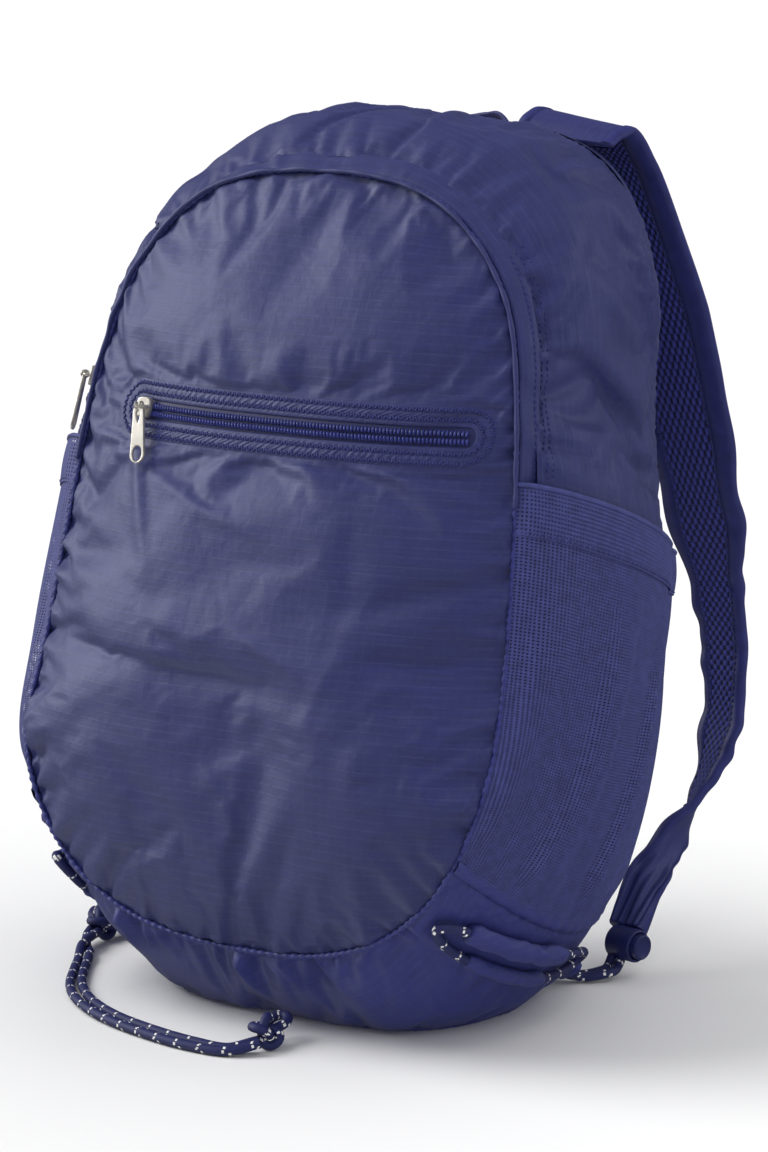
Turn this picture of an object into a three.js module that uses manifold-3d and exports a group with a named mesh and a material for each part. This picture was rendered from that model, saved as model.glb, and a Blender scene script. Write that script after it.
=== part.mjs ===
// A packable nylon daypack, stuffed and standing on its base.
// Millimetres, +Z up, the front faces -Y, the right side is +X. The origin is moved at the end to the
// bottom centre of the pack without its free cord.
import * as THREE from "three";
import { mergeVertices } from "three/addons/utils/BufferGeometryUtils.js";
import Module from "manifold-3d";

const wasm = await Module();
wasm.setup();

// Cloth and seams
const FRONT_WALL = 2.4;       // front panel with its pocket lining
const SIDE_WALL = 1.5;        // gusset and back
const BASE_WALL = 2.2;
const MESH_WALL = 1.2;
const SEAM = 2.0;             // each panel stops this far short of the seam line
const CLEAR = 0.35;           // gap between pieces that lie on each other

// Fullness of the stuffed panels
const FRONT_FULL = 33;
const BACK_FULL = 7;
const FRONT_HEART = [0, -46, 212];
const BACK_HEART = [0, 100, 220];
const PACK_HEART = new THREE.Vector3(0, 20, 215);

// Main zip along the arch, measured back from the front seam
const FLAP_EDGE = 11.5;
const GUSSET_EDGE = 9.2;
const ZIP_FROM = 5.0;         // station where the flap dives under the pocket hem
const PIPING_RADIUS = 1.4;

// Front pocket zip
const POCKET_ZIP = { x: 12, z: 309, length: 192, slot: 9.4, coil: 5.4, tape: 17 };

// Side pockets
const POCKET_FOOT = 0.16;      // stations above the base seam
const POCKET_TOP_FRONT = 4.82;
const POCKET_TOP_BACK = 4.38;
const POCKET_FULL = 17;
const HEM_HEIGHT = 19;

// Cords
const CORD_RADIUS = 2.5;
const STRAND_HALF = 2.85;      // half the spacing of a doubled cord in the lock
const TAIL_HALF = 2.62;        // and of the one that lies on the floor

// Cord lock
const LOCK = { radius: 10.5, length: 20, bore: 8.4, boreDepth: 6.4, button: 8.0, buttonLength: 7.4 };
const LOCK_CENTRE = new THREE.Vector3(109, 118.5, 17.5);
const LOCK_LINE = new THREE.Vector3(0, 0.63, 0.777).normalize();
const LOCK_TURN = -0.2;

// Seam lines of the right half from the bottom centre to the crown: the front seam, the fullest line of
// the side, and the back seam, each as x, y, z.
const STATIONS = [
  { at: "bottom", front: [0, -82, 45], middle: [0, 2, -19], back: [0, 93, 9] },
  { at: "bottom bend", front: [66, -82, 53], middle: [72, 2, -13], back: [64, 94, 11] },
  { at: "corner", front: [113, -80, 82], middle: [128, 4, 41], back: [104, 96, 33] },
  { at: "hip", front: [140, -73, 132], middle: [153, 10, 105], back: [124, 99, 102] },
  { at: "waist", front: [141, -51, 193], middle: [157, 20, 190], back: [135, 100, 190] },
  { at: "pocket", front: [131, -25, 306], middle: [149, 35, 302], back: [137, 100, 300] },
  { at: "shoulder", front: [113, -8, 376], middle: [135, 44, 391], back: [130, 100, 396] },
  { at: "crown bend", front: [67, 0, 420], middle: [84, 48, 446], back: [89, 100, 443] },
  { at: "crown", front: [0, 2, 431], middle: [0, 50, 460], back: [0, 100, 452] },
];
const LOOP = 2 * (STATIONS.length - 1);

// The seam between base and side, as a station: its place at the back and its climb to the front.
const BASE_SEAM = { back: 2.2, climb: 0.3 };

// Soft folds of the front: a place, the direction in degrees, length, width and depth (+ is a ridge).
const FRONT_FOLDS = [
  { x: -35, z: 186, turn: -3, length: 95, width: 10, depth: -4.5 },
  { x: -40, z: 206, turn: -3, length: 90, width: 13, depth: 3.0 },
  { x: 100, z: 232, turn: 14, length: 34, width: 7, depth: -3.0 },
  { x: 104, z: 200, turn: -4, length: 36, width: 7, depth: -3.0 },
  { x: 96, z: 160, turn: -24, length: 38, width: 8, depth: -3.2 },
  { x: -112, z: 262, turn: -20, length: 36, width: 8, depth: -3.2 },
  { x: -112, z: 232, turn: 8, length: 36, width: 8, depth: -3.0 },
  { x: -104, z: 140, turn: 35, length: 40, width: 9, depth: -3.0 },
  { x: -20, z: 78, turn: 84, length: 40, width: 9, depth: -3.4 },
  { x: 34, z: 84, turn: 70, length: 38, width: 9, depth: -2.6 },
  { x: -58, z: 94, turn: 62, length: 36, width: 9, depth: -2.6 },
  { x: 108, z: 318, turn: 28, length: 24, width: 7, depth: -2.4 },
  { x: -96, z: 322, turn: -32, length: 26, width: 7, depth: -2.4 },
  { x: 20, z: 338, turn: 4, length: 80, width: 9, depth: 2.0 },
  { x: -30, z: 405, turn: 70, length: 20, width: 8, depth: -2.2 },
];

// Puckers that gather a panel into its seam: first and last station, waves and height.
const FRONT_PUCKERS = [
  { from: -2.6, to: 2.6, waves: 17, height: 1.7 },
  { from: 2.6, to: 5, waves: 8, height: 1.4 },
  { from: -5, to: -2.6, waves: 8, height: 1.4 },
];
const SIDE_PUCKERS = [
  { from: -2.3, to: 2.3, waves: 15, height: 2.0 },
  { from: 5, to: 11, waves: 21, height: 1.0 },
];

// Right strap from the back's top seam to its gathered end. Twist turns the strip about its own line.
const STRAP_ROWS = [
  { x: 78, y: 102.6, z: 443, width: 60, thick: 3.4, twist: 0 },
  { x: 79, y: 112, z: 451, width: 61, thick: 3.8, twist: 0 },
  { x: 81, y: 125, z: 452, width: 62, thick: 4.2, twist: 0 },
  { x: 85, y: 139, z: 436, width: 62, thick: 4.4, twist: 0 },
  { x: 91, y: 152, z: 397, width: 61, thick: 4.4, twist: 2 },
  { x: 97, y: 166, z: 350, width: 58, thick: 4.4, twist: 4 },
  { x: 103, y: 181, z: 298, width: 53, thick: 4.4, twist: 6 },
  { x: 110, y: 198, z: 243, width: 45, thick: 4.4, twist: 4 },
  { x: 115, y: 210, z: 198, width: 38, thick: 4.4, twist: 0 },
  { x: 118, y: 214, z: 160, width: 31, thick: 4.4, twist: 6 },
  { x: 118, y: 208, z: 122, width: 28, thick: 4.4, twist: 30 },
  { x: 116, y: 191, z: 88, width: 26, thick: 4.6, twist: 80 },
  { x: 113, y: 166, z: 63, width: 25, thick: 5.5, twist: 130 },
  { x: 110, y: 143, z: 46, width: 24, thick: 8.0, twist: 165 },
  { x: 109, y: 125.9, z: 26.6, width: 22, thick: 9.6, twist: 180 },
];

// Free cord on the surface: from the left corner tab to the near knot, and on to the far knot.
const TAIL_LEAD = [
  [-102.1, 86.4, 9], [-113, 83, 4.4], [-131, 72, 3], [-147, 52, 3.4], [-153.5, 34, 4.6], [-154.6, 22.8, 7.5],
];
const TAIL_ROUTE = [
  [-159.2, 6.9, 7.5], [-152, -8, 3.4], [-141, -26, 2.9], [-128, -47, 2.9], [-113, -68, 2.9], [-93, -86, 2.9],
  [-66, -100.5, 2.9], [-34, -109.5, 2.9], [-4, -113.5, 2.9], [18, -111.5, 3.2], [29.8, -101.2, 6.4],
];
const KNOT_NEAR = { at: [-160, 13.5, 8.4], turn: 2.26 };
const KNOT_FAR = { at: [28, -93, 8.4], turn: 1.7 };

// Materials
const COLOURS = {
  nylon: [0x3a3b66, 0.55, 0],
  net: [0x34365e, 0.75, 0],
  padding: [0x2f3158, 0.8, 0],
  cord: [0x30335c, 0.7, 0],
  plastic: [0x2c2f58, 0.45, 0],
  zip: [0x272a50, 0.6, 0],
  metal: [0xd9d5c8, 0.28, 1],
};

const vec = (p) => new THREE.Vector3(...p);

function material(kind) {
  const [color, roughness, metalness] = COLOURS[kind];
  return new THREE.MeshStandardMaterial({ color, roughness, metalness });
}

function piece(name, geometry, kind) {
  const mesh = new THREE.Mesh(geometry, material(kind));
  mesh.name = name;
  return mesh;
}

// Closed bodies

function bodyFrom(points, faces) {
  const geometry = new THREE.BufferGeometry();
  const flat = points.flatMap((p) => [p.x, p.y, p.z]);
  let volume = 0;
  for (const [a, b, c] of faces) {
    volume += points[a].dot(points[b].clone().cross(points[c]));
  }
  const wound = volume < 0 ? faces.map(([a, b, c]) => [a, c, b]) : faces;
  geometry.setAttribute("position", new THREE.Float32BufferAttribute(flat, 3));
  geometry.setIndex(wound.flat());
  return geometry;
}

function gridFaces(columns, rows) {
  const faces = [];
  for (let j = 0; j < rows; j += 1) {
    for (let i = 0; i < columns; i += 1) {
      const a = j * (columns + 1) + i;
      const b = a + 1;
      const c = a + columns + 1;
      const d = c + 1;
      const even = (i < columns / 2) === (j < rows / 2);
      faces.push(...(even ? [[a, b, d], [a, d, c]] : [[a, b, c], [b, d, c]]));
    }
  }
  return faces;
}

function rimOf(columns, rows) {
  const rim = [];
  for (let i = 0; i < columns; i += 1) rim.push(i);
  for (let j = 0; j < rows; j += 1) rim.push(j * (columns + 1) + columns);
  for (let i = columns; i > 0; i -= 1) rim.push(rows * (columns + 1) + i);
  for (let j = rows; j > 0; j -= 1) rim.push(j * (columns + 1));
  return rim;
}

// A cloth wall: the sheet is its outer face and the inner face lies one thickness towards the pack's heart.
function wall(sheet, columns, rows, thick) {
  const outer = [];
  for (let j = 0; j <= rows; j += 1) {
    for (let i = 0; i <= columns; i += 1) outer.push(sheet(i / columns, j / rows));
  }
  const faces = gridFaces(columns, rows);
  const skin = bodyFrom(outer, faces);
  skin.computeVertexNormals();
  const normals = outer.map((p, i) => new THREE.Vector3().fromBufferAttribute(skin.attributes.normal, i));
  const facing = outer.reduce((sum, p, i) => sum + normals[i].dot(p.clone().sub(PACK_HEART)), 0);
  const inward = facing > 0 ? -thick : thick;
  const inner = outer.map((p, i) => p.clone().addScaledVector(normals[i], inward));
  const count = outer.length;
  const all = [...faces, ...faces.map(([a, b, c]) => [a + count, c + count, b + count])];
  const rim = rimOf(columns, rows);
  rim.forEach((a, k) => {
    const b = rim[(k + 1) % rim.length];
    all.push([b, a, a + count], [b, a + count, b + count]);
  });
  return bodyFrom([...outer, ...inner], all);
}

// A body through a row of closed rings with the same number of points.
function loft(rings) {
  const size = rings[0].length;
  const points = rings.flat();
  const faces = [];
  for (let k = 0; k + 1 < rings.length; k += 1) {
    for (let i = 0; i < size; i += 1) {
      const a = k * size + i;
      const b = k * size + ((i + 1) % size);
      faces.push([a, b, b + size], [a, b + size, a + size]);
    }
  }
  const last = (rings.length - 1) * size;
  for (let i = 1; i + 1 < size; i += 1) {
    faces.push([0, i + 1, i], [last, last + i, last + i + 1]);
  }
  return bodyFrom(points, faces);
}

function tube(points, radius, steps, sides = 8) {
  const circle = new THREE.Shape();
  for (let k = 0; k < sides; k += 1) {
    const turn = (2 * Math.PI * k) / sides;
    const at = [radius * Math.cos(turn), radius * Math.sin(turn)];
    if (k === 0) circle.moveTo(...at);
    else circle.lineTo(...at);
  }
  circle.closePath();
  const extrudePath = new THREE.CatmullRomCurve3(points, false, "centripetal");
  return new THREE.ExtrudeGeometry(circle, { steps, extrudePath, bevelEnabled: false });
}

// The room a cord needs inside another piece: its own line, a little wider and longer.
function channel(points, steps) {
  const first = points[0].clone().sub(points[1]).setLength(0.7).add(points[0]);
  const end = points.length - 1;
  const last = points[end].clone().sub(points[end - 1]).setLength(0.7).add(points[end]);
  return tube([first, ...points.slice(1, -1), last], CORD_RADIUS + 3 * CLEAR, steps, 6);
}

function solid(geometry) {
  const bare = new THREE.BufferGeometry();
  bare.setAttribute("position", geometry.attributes.position.clone());
  if (geometry.index) bare.setIndex(geometry.index.clone());
  const joined = mergeVertices(bare, 1e-3);
  return new wasm.Manifold(new wasm.Mesh({
    numProp: 3,
    vertProperties: new Float32Array(joined.attributes.position.array),
    triVerts: new Uint32Array(joined.index.array),
  }));
}

function geometryOf(body) {
  const mesh = body.getMesh();
  const geometry = new THREE.BufferGeometry();
  geometry.setAttribute("position", new THREE.Float32BufferAttribute(mesh.vertProperties, 3));
  geometry.setIndex(Array.from(mesh.triVerts));
  return geometry;
}

function cut(geometry, ...tools) {
  let body = solid(geometry);
  for (const tool of tools) body = body.subtract(solid(tool));
  return geometryOf(body);
}

function join(...geometries) {
  let body = solid(geometries[0]);
  for (const next of geometries.slice(1)) body = body.add(solid(next));
  return geometryOf(body);
}

// The stuffed form

function rail(key) {
  const right = STATIONS.map((row) => vec(row[key]));
  const left = right.slice(1, -1).reverse().map((p) => new THREE.Vector3(-p.x, p.y, p.z));
  return new THREE.CatmullRomCurve3([...right, ...left], true, "catmullrom", 0.5);
}

const frontRail = rail("front");
const middleRail = rail("middle");
const backRail = rail("back");

function puckers(rows, station, distance) {
  const turn = station > LOOP / 2 + 3 ? station - LOOP : station;
  let height = 0;
  for (const row of rows) {
    const share = (turn - row.from) / (row.to - row.from);
    if (share > 0 && share < 1) {
      const fade = Math.sin(Math.PI * share) ** 0.4;
      height += row.height * fade * Math.cos(2 * Math.PI * row.waves * share);
    }
  }
  const reach = distance / 9;
  return height * reach * Math.exp(1 - reach);
}

function folds(rows, x, z) {
  let height = 0;
  for (const row of rows) {
    const turn = THREE.MathUtils.degToRad(row.turn);
    const along = (x - row.x) * Math.cos(turn) + (z - row.z) * Math.sin(turn);
    const across = (z - row.z) * Math.cos(turn) - (x - row.x) * Math.sin(turn);
    height += row.depth * Math.exp(-((along / row.length) ** 2) - (across / row.width) ** 2);
  }
  return height;
}

// A point of a panel in its round: station gives the direction, reach runs from its heart 0 to its seam 1.
function frontPoint(station, reach) {
  const seam = frontRail.getPoint(station / LOOP);
  const heart = vec(FRONT_HEART);
  const p = heart.clone().lerp(seam, reach);
  const distance = seam.distanceTo(heart) * (1 - reach);
  const full = FRONT_FULL * (1 - reach ** 2.6);
  const edge = 1 - reach ** 12;
  p.y -= full + folds(FRONT_FOLDS, p.x, p.z) * edge + puckers(FRONT_PUCKERS, station, distance);
  return p;
}

function backPoint(station, reach) {
  const seam = backRail.getPoint(station / LOOP);
  const p = vec(BACK_HEART).lerp(seam, reach);
  p.y += BACK_FULL * (1 - reach ** 3);
  return p;
}

// A panel's square grid drawn out to its round seam.
function rounded(point) {
  return (u, v) => {
    const a = 2 * u - 1;
    const b = 2 * v - 1;
    const across = a * Math.sqrt(1 - (b * b) / 2);
    const up = b * Math.sqrt(1 - (a * a) / 2);
    const reach = Math.min(1, Math.hypot(across, up));
    const turn = Math.atan2(up, across) / (2 * Math.PI) + 0.25;
    return point(((turn + 1) % 1) * LOOP, reach);
  };
}

// The band round the pack between the front seam (share 0) and the back seam (share 1), flat on the floor.
function bandPoint(station, share) {
  const t = (((station / LOOP) % 1) + 1) % 1;
  const p = frontRail.getPoint(t).multiplyScalar((2 * share - 1) * (share - 1));
  p.addScaledVector(middleRail.getPoint(t), 4 * share * (1 - share));
  p.addScaledVector(backRail.getPoint(t), share * (2 * share - 1));
  p.z = Math.max(p.z, 0);
  return p;
}

function bandNormal(station, share) {
  const step = 1e-3;
  const along = bandPoint(station + step, share).sub(bandPoint(station - step, share));
  const across = bandPoint(station, share + step).sub(bandPoint(station, share - step));
  const normal = along.cross(across).normalize();
  const away = normal.dot(bandPoint(station, share).sub(PACK_HEART));
  return away < 0 ? normal.negate() : normal;
}

function offBand(station, share, lift) {
  return bandPoint(station, share).addScaledVector(bandNormal(station, share), lift);
}

function bandDepth(station) {
  const middle = bandPoint(station, 0.5);
  return middle.distanceTo(bandPoint(station, 0)) + middle.distanceTo(bandPoint(station, 1));
}

function shareAt(station, distance) {
  return distance / bandDepth(station);
}

function baseSeam(share) {
  return BASE_SEAM.back + BASE_SEAM.climb * (1 - share) ** 2;
}

// A strip of the band between two stations and two distances, with its outer face lifted off the band.
function bandStrip({ from, to, near, far, lift, gather = [] }) {
  return (u, v) => {
    const station = from(v) + (to(v) - from(v)) * u;
    const first = near(station);
    const share = first + (far(station) - first) * v;
    const distance = share * bandDepth(station);
    const middling = Math.min(1, 6 * Math.min(v, 1 - v));
    const round = ((station % LOOP) + LOOP) % LOOP;
    const rise = lift(u, v, station) + puckers(gather, round, distance) * middling;
    const p = offBand(station, share, rise);
    p.z = Math.max(p.z, 0);
    return p;
  };
}

function frontPanel() {
  const panel = wall(rounded(frontPoint), 16, 22, FRONT_WALL);
  const half = POCKET_ZIP.length / 2;
  const slot = new THREE.Shape();
  slot.absarc(half, 0, POCKET_ZIP.slot / 2, -Math.PI / 2, Math.PI / 2);
  slot.absarc(-half, 0, POCKET_ZIP.slot / 2, Math.PI / 2, (3 * Math.PI) / 2);
  slot.closePath();
  const tool = new THREE.ExtrudeGeometry(slot, { depth: 160, curveSegments: 5, bevelEnabled: false });
  tool.rotateX(Math.PI / 2);
  tool.translate(POCKET_ZIP.x, 10, POCKET_ZIP.z);
  return piece("front_panel", cut(panel, tool), "nylon");
}

function gusset() {
  const start = ZIP_FROM;
  const near = (station) => {
    const inArch = THREE.MathUtils.smoothstep(Math.min(station, LOOP - station), start - 0.75, start - 0.45);
    return shareAt(station, SEAM + (GUSSET_EDGE - SEAM) * inArch);
  };
  const far = (station) => 1 - shareAt(station, SEAM);
  const from = (v) => baseSeam(v) + 0.04;
  const to = (v) => LOOP - from(v);
  const sheet = bandStrip({ from, to, near, far, lift: () => 0, gather: SIDE_PUCKERS });
  return piece("gusset", wall(sheet, 42, 6, SIDE_WALL), "nylon");
}

function base() {
  const near = (station) => shareAt(station, SEAM);
  const far = (station) => 1 - shareAt(station, SEAM);
  const to = (v) => baseSeam(v) - 0.02;
  const from = (v) => -to(v);
  const sheet = bandStrip({ from, to, near, far, lift: () => 0, gather: SIDE_PUCKERS });
  return piece("base", wall(sheet, 20, 7, BASE_WALL), "nylon");
}

function backPanel() {
  return piece("back_panel", wall(rounded(backPoint), 8, 10, SIDE_WALL), "nylon");
}

function mainZip() {
  const start = POCKET_TOP_FRONT + 0.06;
  const flap = bandStrip({
    from: () => start,
    to: () => LOOP - start,
    near: (station) => shareAt(station, SEAM + 0.2),
    far: (station) => shareAt(station, FLAP_EDGE),
    lift: () => CLEAR + MESH_WALL,
  });
  const zip = bandStrip({
    from: () => start + 0.04,
    to: () => LOOP - start - 0.04,
    near: (station) => shareAt(station, SEAM + 0.6),
    far: (station) => shareAt(station, GUSSET_EDGE - 0.8),
    lift: () => -0.3,
  });
  return [
    piece("zip_flap", wall(flap, 32, 1, MESH_WALL), "nylon"),
    piece("main_zip", wall(zip, 26, 1, MESH_WALL), "zip"),
  ];
}

function frontPiping() {
  const points = [];
  const steps = 44;
  for (let k = 0; k <= steps; k += 1) {
    const station = ZIP_FROM - 0.2 + ((LOOP - 2 * ZIP_FROM + 0.4) * k) / steps;
    const seam = bandPoint(station, 0);
    const back = bandPoint(station, 0.02).sub(seam).normalize();
    const out = bandNormal(station, 0.01);
    points.push(seam.addScaledVector(out, 1.4).addScaledVector(back, -1.4));
  }
  return piece("front_piping", tube(points, PIPING_RADIUS, 30, 5), "nylon");
}

// The front's depth at a place seen from the front.
function frontDepth(x, z) {
  const [hx, , hz] = FRONT_HEART;
  const aim = Math.atan2(z - hz, x - hx);
  let low = 0;
  let high = LOOP;
  for (let k = 0; k < 40; k += 1) {
    const middle = (low + high) / 2;
    const seam = frontRail.getPoint(middle / LOOP);
    const turn = Math.atan2(seam.z - hz, seam.x - hx);
    const past = (turn + Math.PI / 2 + 2 * Math.PI) % (2 * Math.PI);
    if (past < (aim + Math.PI / 2 + 2 * Math.PI) % (2 * Math.PI)) low = middle;
    else high = middle;
  }
  const seam = frontRail.getPoint(low / LOOP);
  const reach = Math.hypot(x - hx, z - hz) / Math.hypot(seam.x - hx, seam.z - hz);
  return frontPoint(low, Math.min(1, reach)).y;
}

function pocketZip() {
  const { x, z, length, coil, tape } = POCKET_ZIP;
  const strip = (half, height, lift) => (u, v) => {
    const px = x + half * (2 * u - 1);
    const pz = z + height * (v - 0.5);
    return new THREE.Vector3(px, frontDepth(px, pz) + lift, pz);
  };
  const tapeSheet = strip(length / 2 + 7, tape, FRONT_WALL + 1.2);
  const coilSheet = strip(length / 2 - 2, coil, -0.4);
  return [
    piece("pocket_zip_tape", wall(tapeSheet, 12, 1, 1), "zip"),
    piece("pocket_zip_coil", wall(coilSheet, 12, 1, FRONT_WALL + 0.4), "zip"),
  ];
}

// Slider and pull. The sheet lies under z = 0, the pull hangs towards -y and swings about x.
function sliderGeometry() {
  const plate = new THREE.Shape();
  plate.moveTo(-3.2, -5);
  plate.lineTo(3.2, -5);
  plate.lineTo(4.4, 1);
  plate.lineTo(4.0, 4.4);
  plate.lineTo(2.0, 5.4);
  plate.lineTo(-2.0, 5.4);
  plate.lineTo(-4.0, 4.4);
  plate.lineTo(-4.4, 1);
  plate.closePath();
  const body = new THREE.ExtrudeGeometry(plate, {
    depth: 2.2, bevelEnabled: true, bevelSize: 0.4, bevelThickness: 0.4, bevelSegments: 1,
  });
  body.translate(0, 0, 0.4);
  const bail = tube([
    new THREE.Vector3(-3.3, 0, 2),
    new THREE.Vector3(-3.3, 0, 4.6),
    new THREE.Vector3(-2.4, 0, 5.9),
    new THREE.Vector3(0, 0, 6.1),
    new THREE.Vector3(2.4, 0, 5.9),
    new THREE.Vector3(3.3, 0, 4.6),
    new THREE.Vector3(3.3, 0, 2),
  ], 0.8, 8, 5);
  return join(body, bail);
}

const BAIL_RISE = 6.1;

function pullGeometry() {
  const plate = new THREE.Shape();
  plate.moveTo(-2.2, -1.9);
  plate.lineTo(-2.6, -6);
  plate.lineTo(-4.0, -18);
  plate.absarc(0, -25.5, 4.6, Math.PI * 0.86, Math.PI * 2.14);
  plate.lineTo(4.0, -18);
  plate.lineTo(2.6, -6);
  plate.lineTo(2.2, -1.9);
  plate.closePath();
  const lower = new THREE.Path();
  lower.absellipse(0, -25, 2.3, 3.4, 0, 2 * Math.PI, true);
  const upper = new THREE.Path();
  upper.absellipse(0, -6.4, 1.1, 2.0, 0, 2 * Math.PI, true);
  plate.holes.push(lower, upper);
  const leaf = new THREE.ExtrudeGeometry(plate, { depth: 1.3, curveSegments: 4, bevelEnabled: false });
  leaf.translate(0, 0, -0.65);
  const eye = new THREE.Shape();
  eye.absarc(0, 0, 2.3, 0, 2 * Math.PI);
  const bore = new THREE.Path();
  bore.absarc(0, 0, 1.3, 0, 2 * Math.PI, true);
  eye.holes.push(bore);
  const roll = new THREE.ExtrudeGeometry(eye, { depth: 3.4, curveSegments: 4, bevelEnabled: false });
  roll.translate(0, 0, -1.7);
  roll.rotateY(Math.PI / 2);
  return join(leaf, roll);
}

function zipSlider(name, origin, out, up) {
  const across = up.clone().cross(out).normalize();
  const along = out.clone().cross(across).normalize();
  const place = new THREE.Matrix4().makeBasis(across, along, out).setPosition(origin);
  const body = sliderGeometry().applyMatrix4(place);
  const hang = pullGeometry();
  hang.translate(0, 0, BAIL_RISE);
  hang.applyMatrix4(place);
  return [piece(`${name}_slider`, body, "metal"), piece(`${name}_pull`, hang, "metal")];
}

function pocketSlider() {
  const x = POCKET_ZIP.x - POCKET_ZIP.length / 2 + 5;
  const { z } = POCKET_ZIP;
  const up = new THREE.Vector3(0, frontDepth(x, z + 8) - frontDepth(x, z - 24), 32).normalize();
  const out = new THREE.Vector3(0, -up.z, up.y);
  const origin = new THREE.Vector3(x, frontDepth(x, z) - 0.4, z).addScaledVector(out, CLEAR + 1.2);
  return zipSlider("pocket_zip", origin, out, up);
}

function mainSlider() {
  const station = LOOP - ZIP_FROM - 0.13;
  const share = shareAt(station, FLAP_EDGE - 1.5);
  const out = bandNormal(station, share);
  const up = bandPoint(station - 0.1, share).sub(bandPoint(station + 0.1, share));
  const across = up.clone().cross(out).normalize();
  const along = out.clone().cross(across).normalize();
  return zipSlider("main_zip", offBand(station, share, MESH_WALL + 3 * CLEAR), out, along);
}

function haulLoop() {
  const rows = [
    [-38, 103.2, 430], [-39, 105.5, 441], [-36, 112, 450], [-22, 122, 449], [0, 126, 446],
    [22, 122, 449], [36, 112, 450], [39, 105.5, 441], [38, 103.2, 430],
  ];
  const path = new THREE.CatmullRomCurve3(rows.map(vec), false, "centripetal");
  const rings = [];
  const steps = 16;
  for (let k = 0; k <= steps; k += 1) {
    const at = path.getPoint(k / steps);
    const line = path.getTangent(k / steps);
    const thick = new THREE.Vector3(0, 0.8, 0.6);
    thick.addScaledVector(line, -thick.dot(line)).normalize();
    const wide = line.clone().cross(thick);
    rings.push([[-1, -1], [1, -1], [1, 1], [-1, 1]].map(([a, b]) =>
      at.clone().addScaledVector(wide, 6 * a).addScaledVector(thick, 0.9 * b)));
  }
  return piece("haul_loop", loft(rings), "padding");
}

// Pieces of the right side, mirrored for the left

function pocketLift(u, v) {
  return CLEAR + 0.25 + POCKET_FULL * Math.sin(Math.PI * u) ** 0.75 * Math.sin((Math.PI / 2) * v) ** 1.1;
}

function pocketSheet(first, last, extra) {
  return (u, v) => {
    const top = POCKET_TOP_FRONT + (POCKET_TOP_BACK - POCKET_TOP_FRONT) * u ** 1.3;
    const height = first(top) + (last(top) - first(top)) * v;
    const foot = baseSeam(u) + POCKET_FOOT;
    const station = foot + (top - foot) * height;
    const near = shareAt(station, SEAM);
    const share = near + (1 - 2 * near) * u;
    const low = (height / 0.05) * Math.exp(-height / 0.09);
    const gathers = Math.max(0, 1.2 * Math.cos(14 * Math.PI * u) * Math.sin(Math.PI * u) * low);
    return offBand(station, share, pocketLift(u, height) + MESH_WALL + extra + gathers);
  };
}

function meshPocket() {
  const whole = pocketSheet(() => 0, () => 1, 0);
  const hemShare = HEM_HEIGHT / 215;
  const hem = pocketSheet(() => 1 - hemShare, () => 1.004, MESH_WALL + CLEAR);
  return [
    piece("mesh_pocket", wall(whole, 8, 7, MESH_WALL), "net"),
    piece("pocket_hem", wall(hem, 8, 1, MESH_WALL), "net"),
  ];
}

function strapFrame(share) {
  const spot = share * (STRAP_ROWS.length - 1);
  const spots = STRAP_ROWS.map((row) => new THREE.Vector3(row.x, row.y, row.z));
  const at = new THREE.CatmullRomCurve3(spots, false, "catmullrom", 0.5);
  const row = Math.min(STRAP_ROWS.length - 2, Math.floor(spot));
  const part = spot - row;
  const mix = (key) => STRAP_ROWS[row][key] * (1 - part) + STRAP_ROWS[row + 1][key] * part;
  const line = at.getTangent(share);
  const wide = new THREE.Vector3(1, 0, 0);
  wide.addScaledVector(line, -wide.dot(line)).normalize();
  wide.applyAxisAngle(line, THREE.MathUtils.degToRad(mix("twist")));
  const deep = line.clone().cross(wide);
  return { point: at.getPoint(share), wide, deep, width: mix("width"), thick: mix("thick") };
}

const STRAP_SECTION = [
  [-1, -0.2], [-0.88, -1], [0, -1.15], [0.88, -1], [1, -0.2], [0.88, 1], [0, 1.15], [-0.88, 1],
];

function strap() {
  const steps = 20;
  const rings = [];
  for (let k = 0; k <= steps; k += 1) {
    const f = strapFrame(k / steps);
    rings.push(STRAP_SECTION.map(([a, b]) => f.point.clone()
      .addScaledVector(f.wide, (a * f.width) / 2)
      .addScaledVector(f.deep, (b * f.thick) / 2.3)));
  }
  return piece("strap", cut(loft(rings), channel(strapCordPoints(), 24)), "padding");
}

const TAB = { station: 1.5, share: 0.95 };

function tabPoint(lift) {
  return offBand(TAB.station, TAB.share, lift);
}

// The strap cord: up one strand through the lock, round inside the strap's end, and down the other.
function strapCordPoints() {
  const up = [];
  const middle = [
    tabPoint(4), tabPoint(13), new THREE.Vector3(109.5, 103, 5.4),
    LOCK_CENTRE.clone().addScaledVector(LOCK_LINE, -14),
    LOCK_CENTRE.clone(),
    LOCK_CENTRE.clone().addScaledVector(LOCK_LINE, 15),
  ];
  for (const p of middle) up.push(p.clone().add(new THREE.Vector3(STRAND_HALF, 0, 0)));
  const down = middle.map((p) => p.clone().add(new THREE.Vector3(-STRAND_HALF, 0, 0))).reverse();
  const crown = LOCK_CENTRE.clone().addScaledVector(LOCK_LINE, 19.5);
  return [...up, crown, ...down];
}

function strapCord() {
  return piece("strap_cord", tube(strapCordPoints(), CORD_RADIUS, 24, 6), "cord");
}

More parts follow.
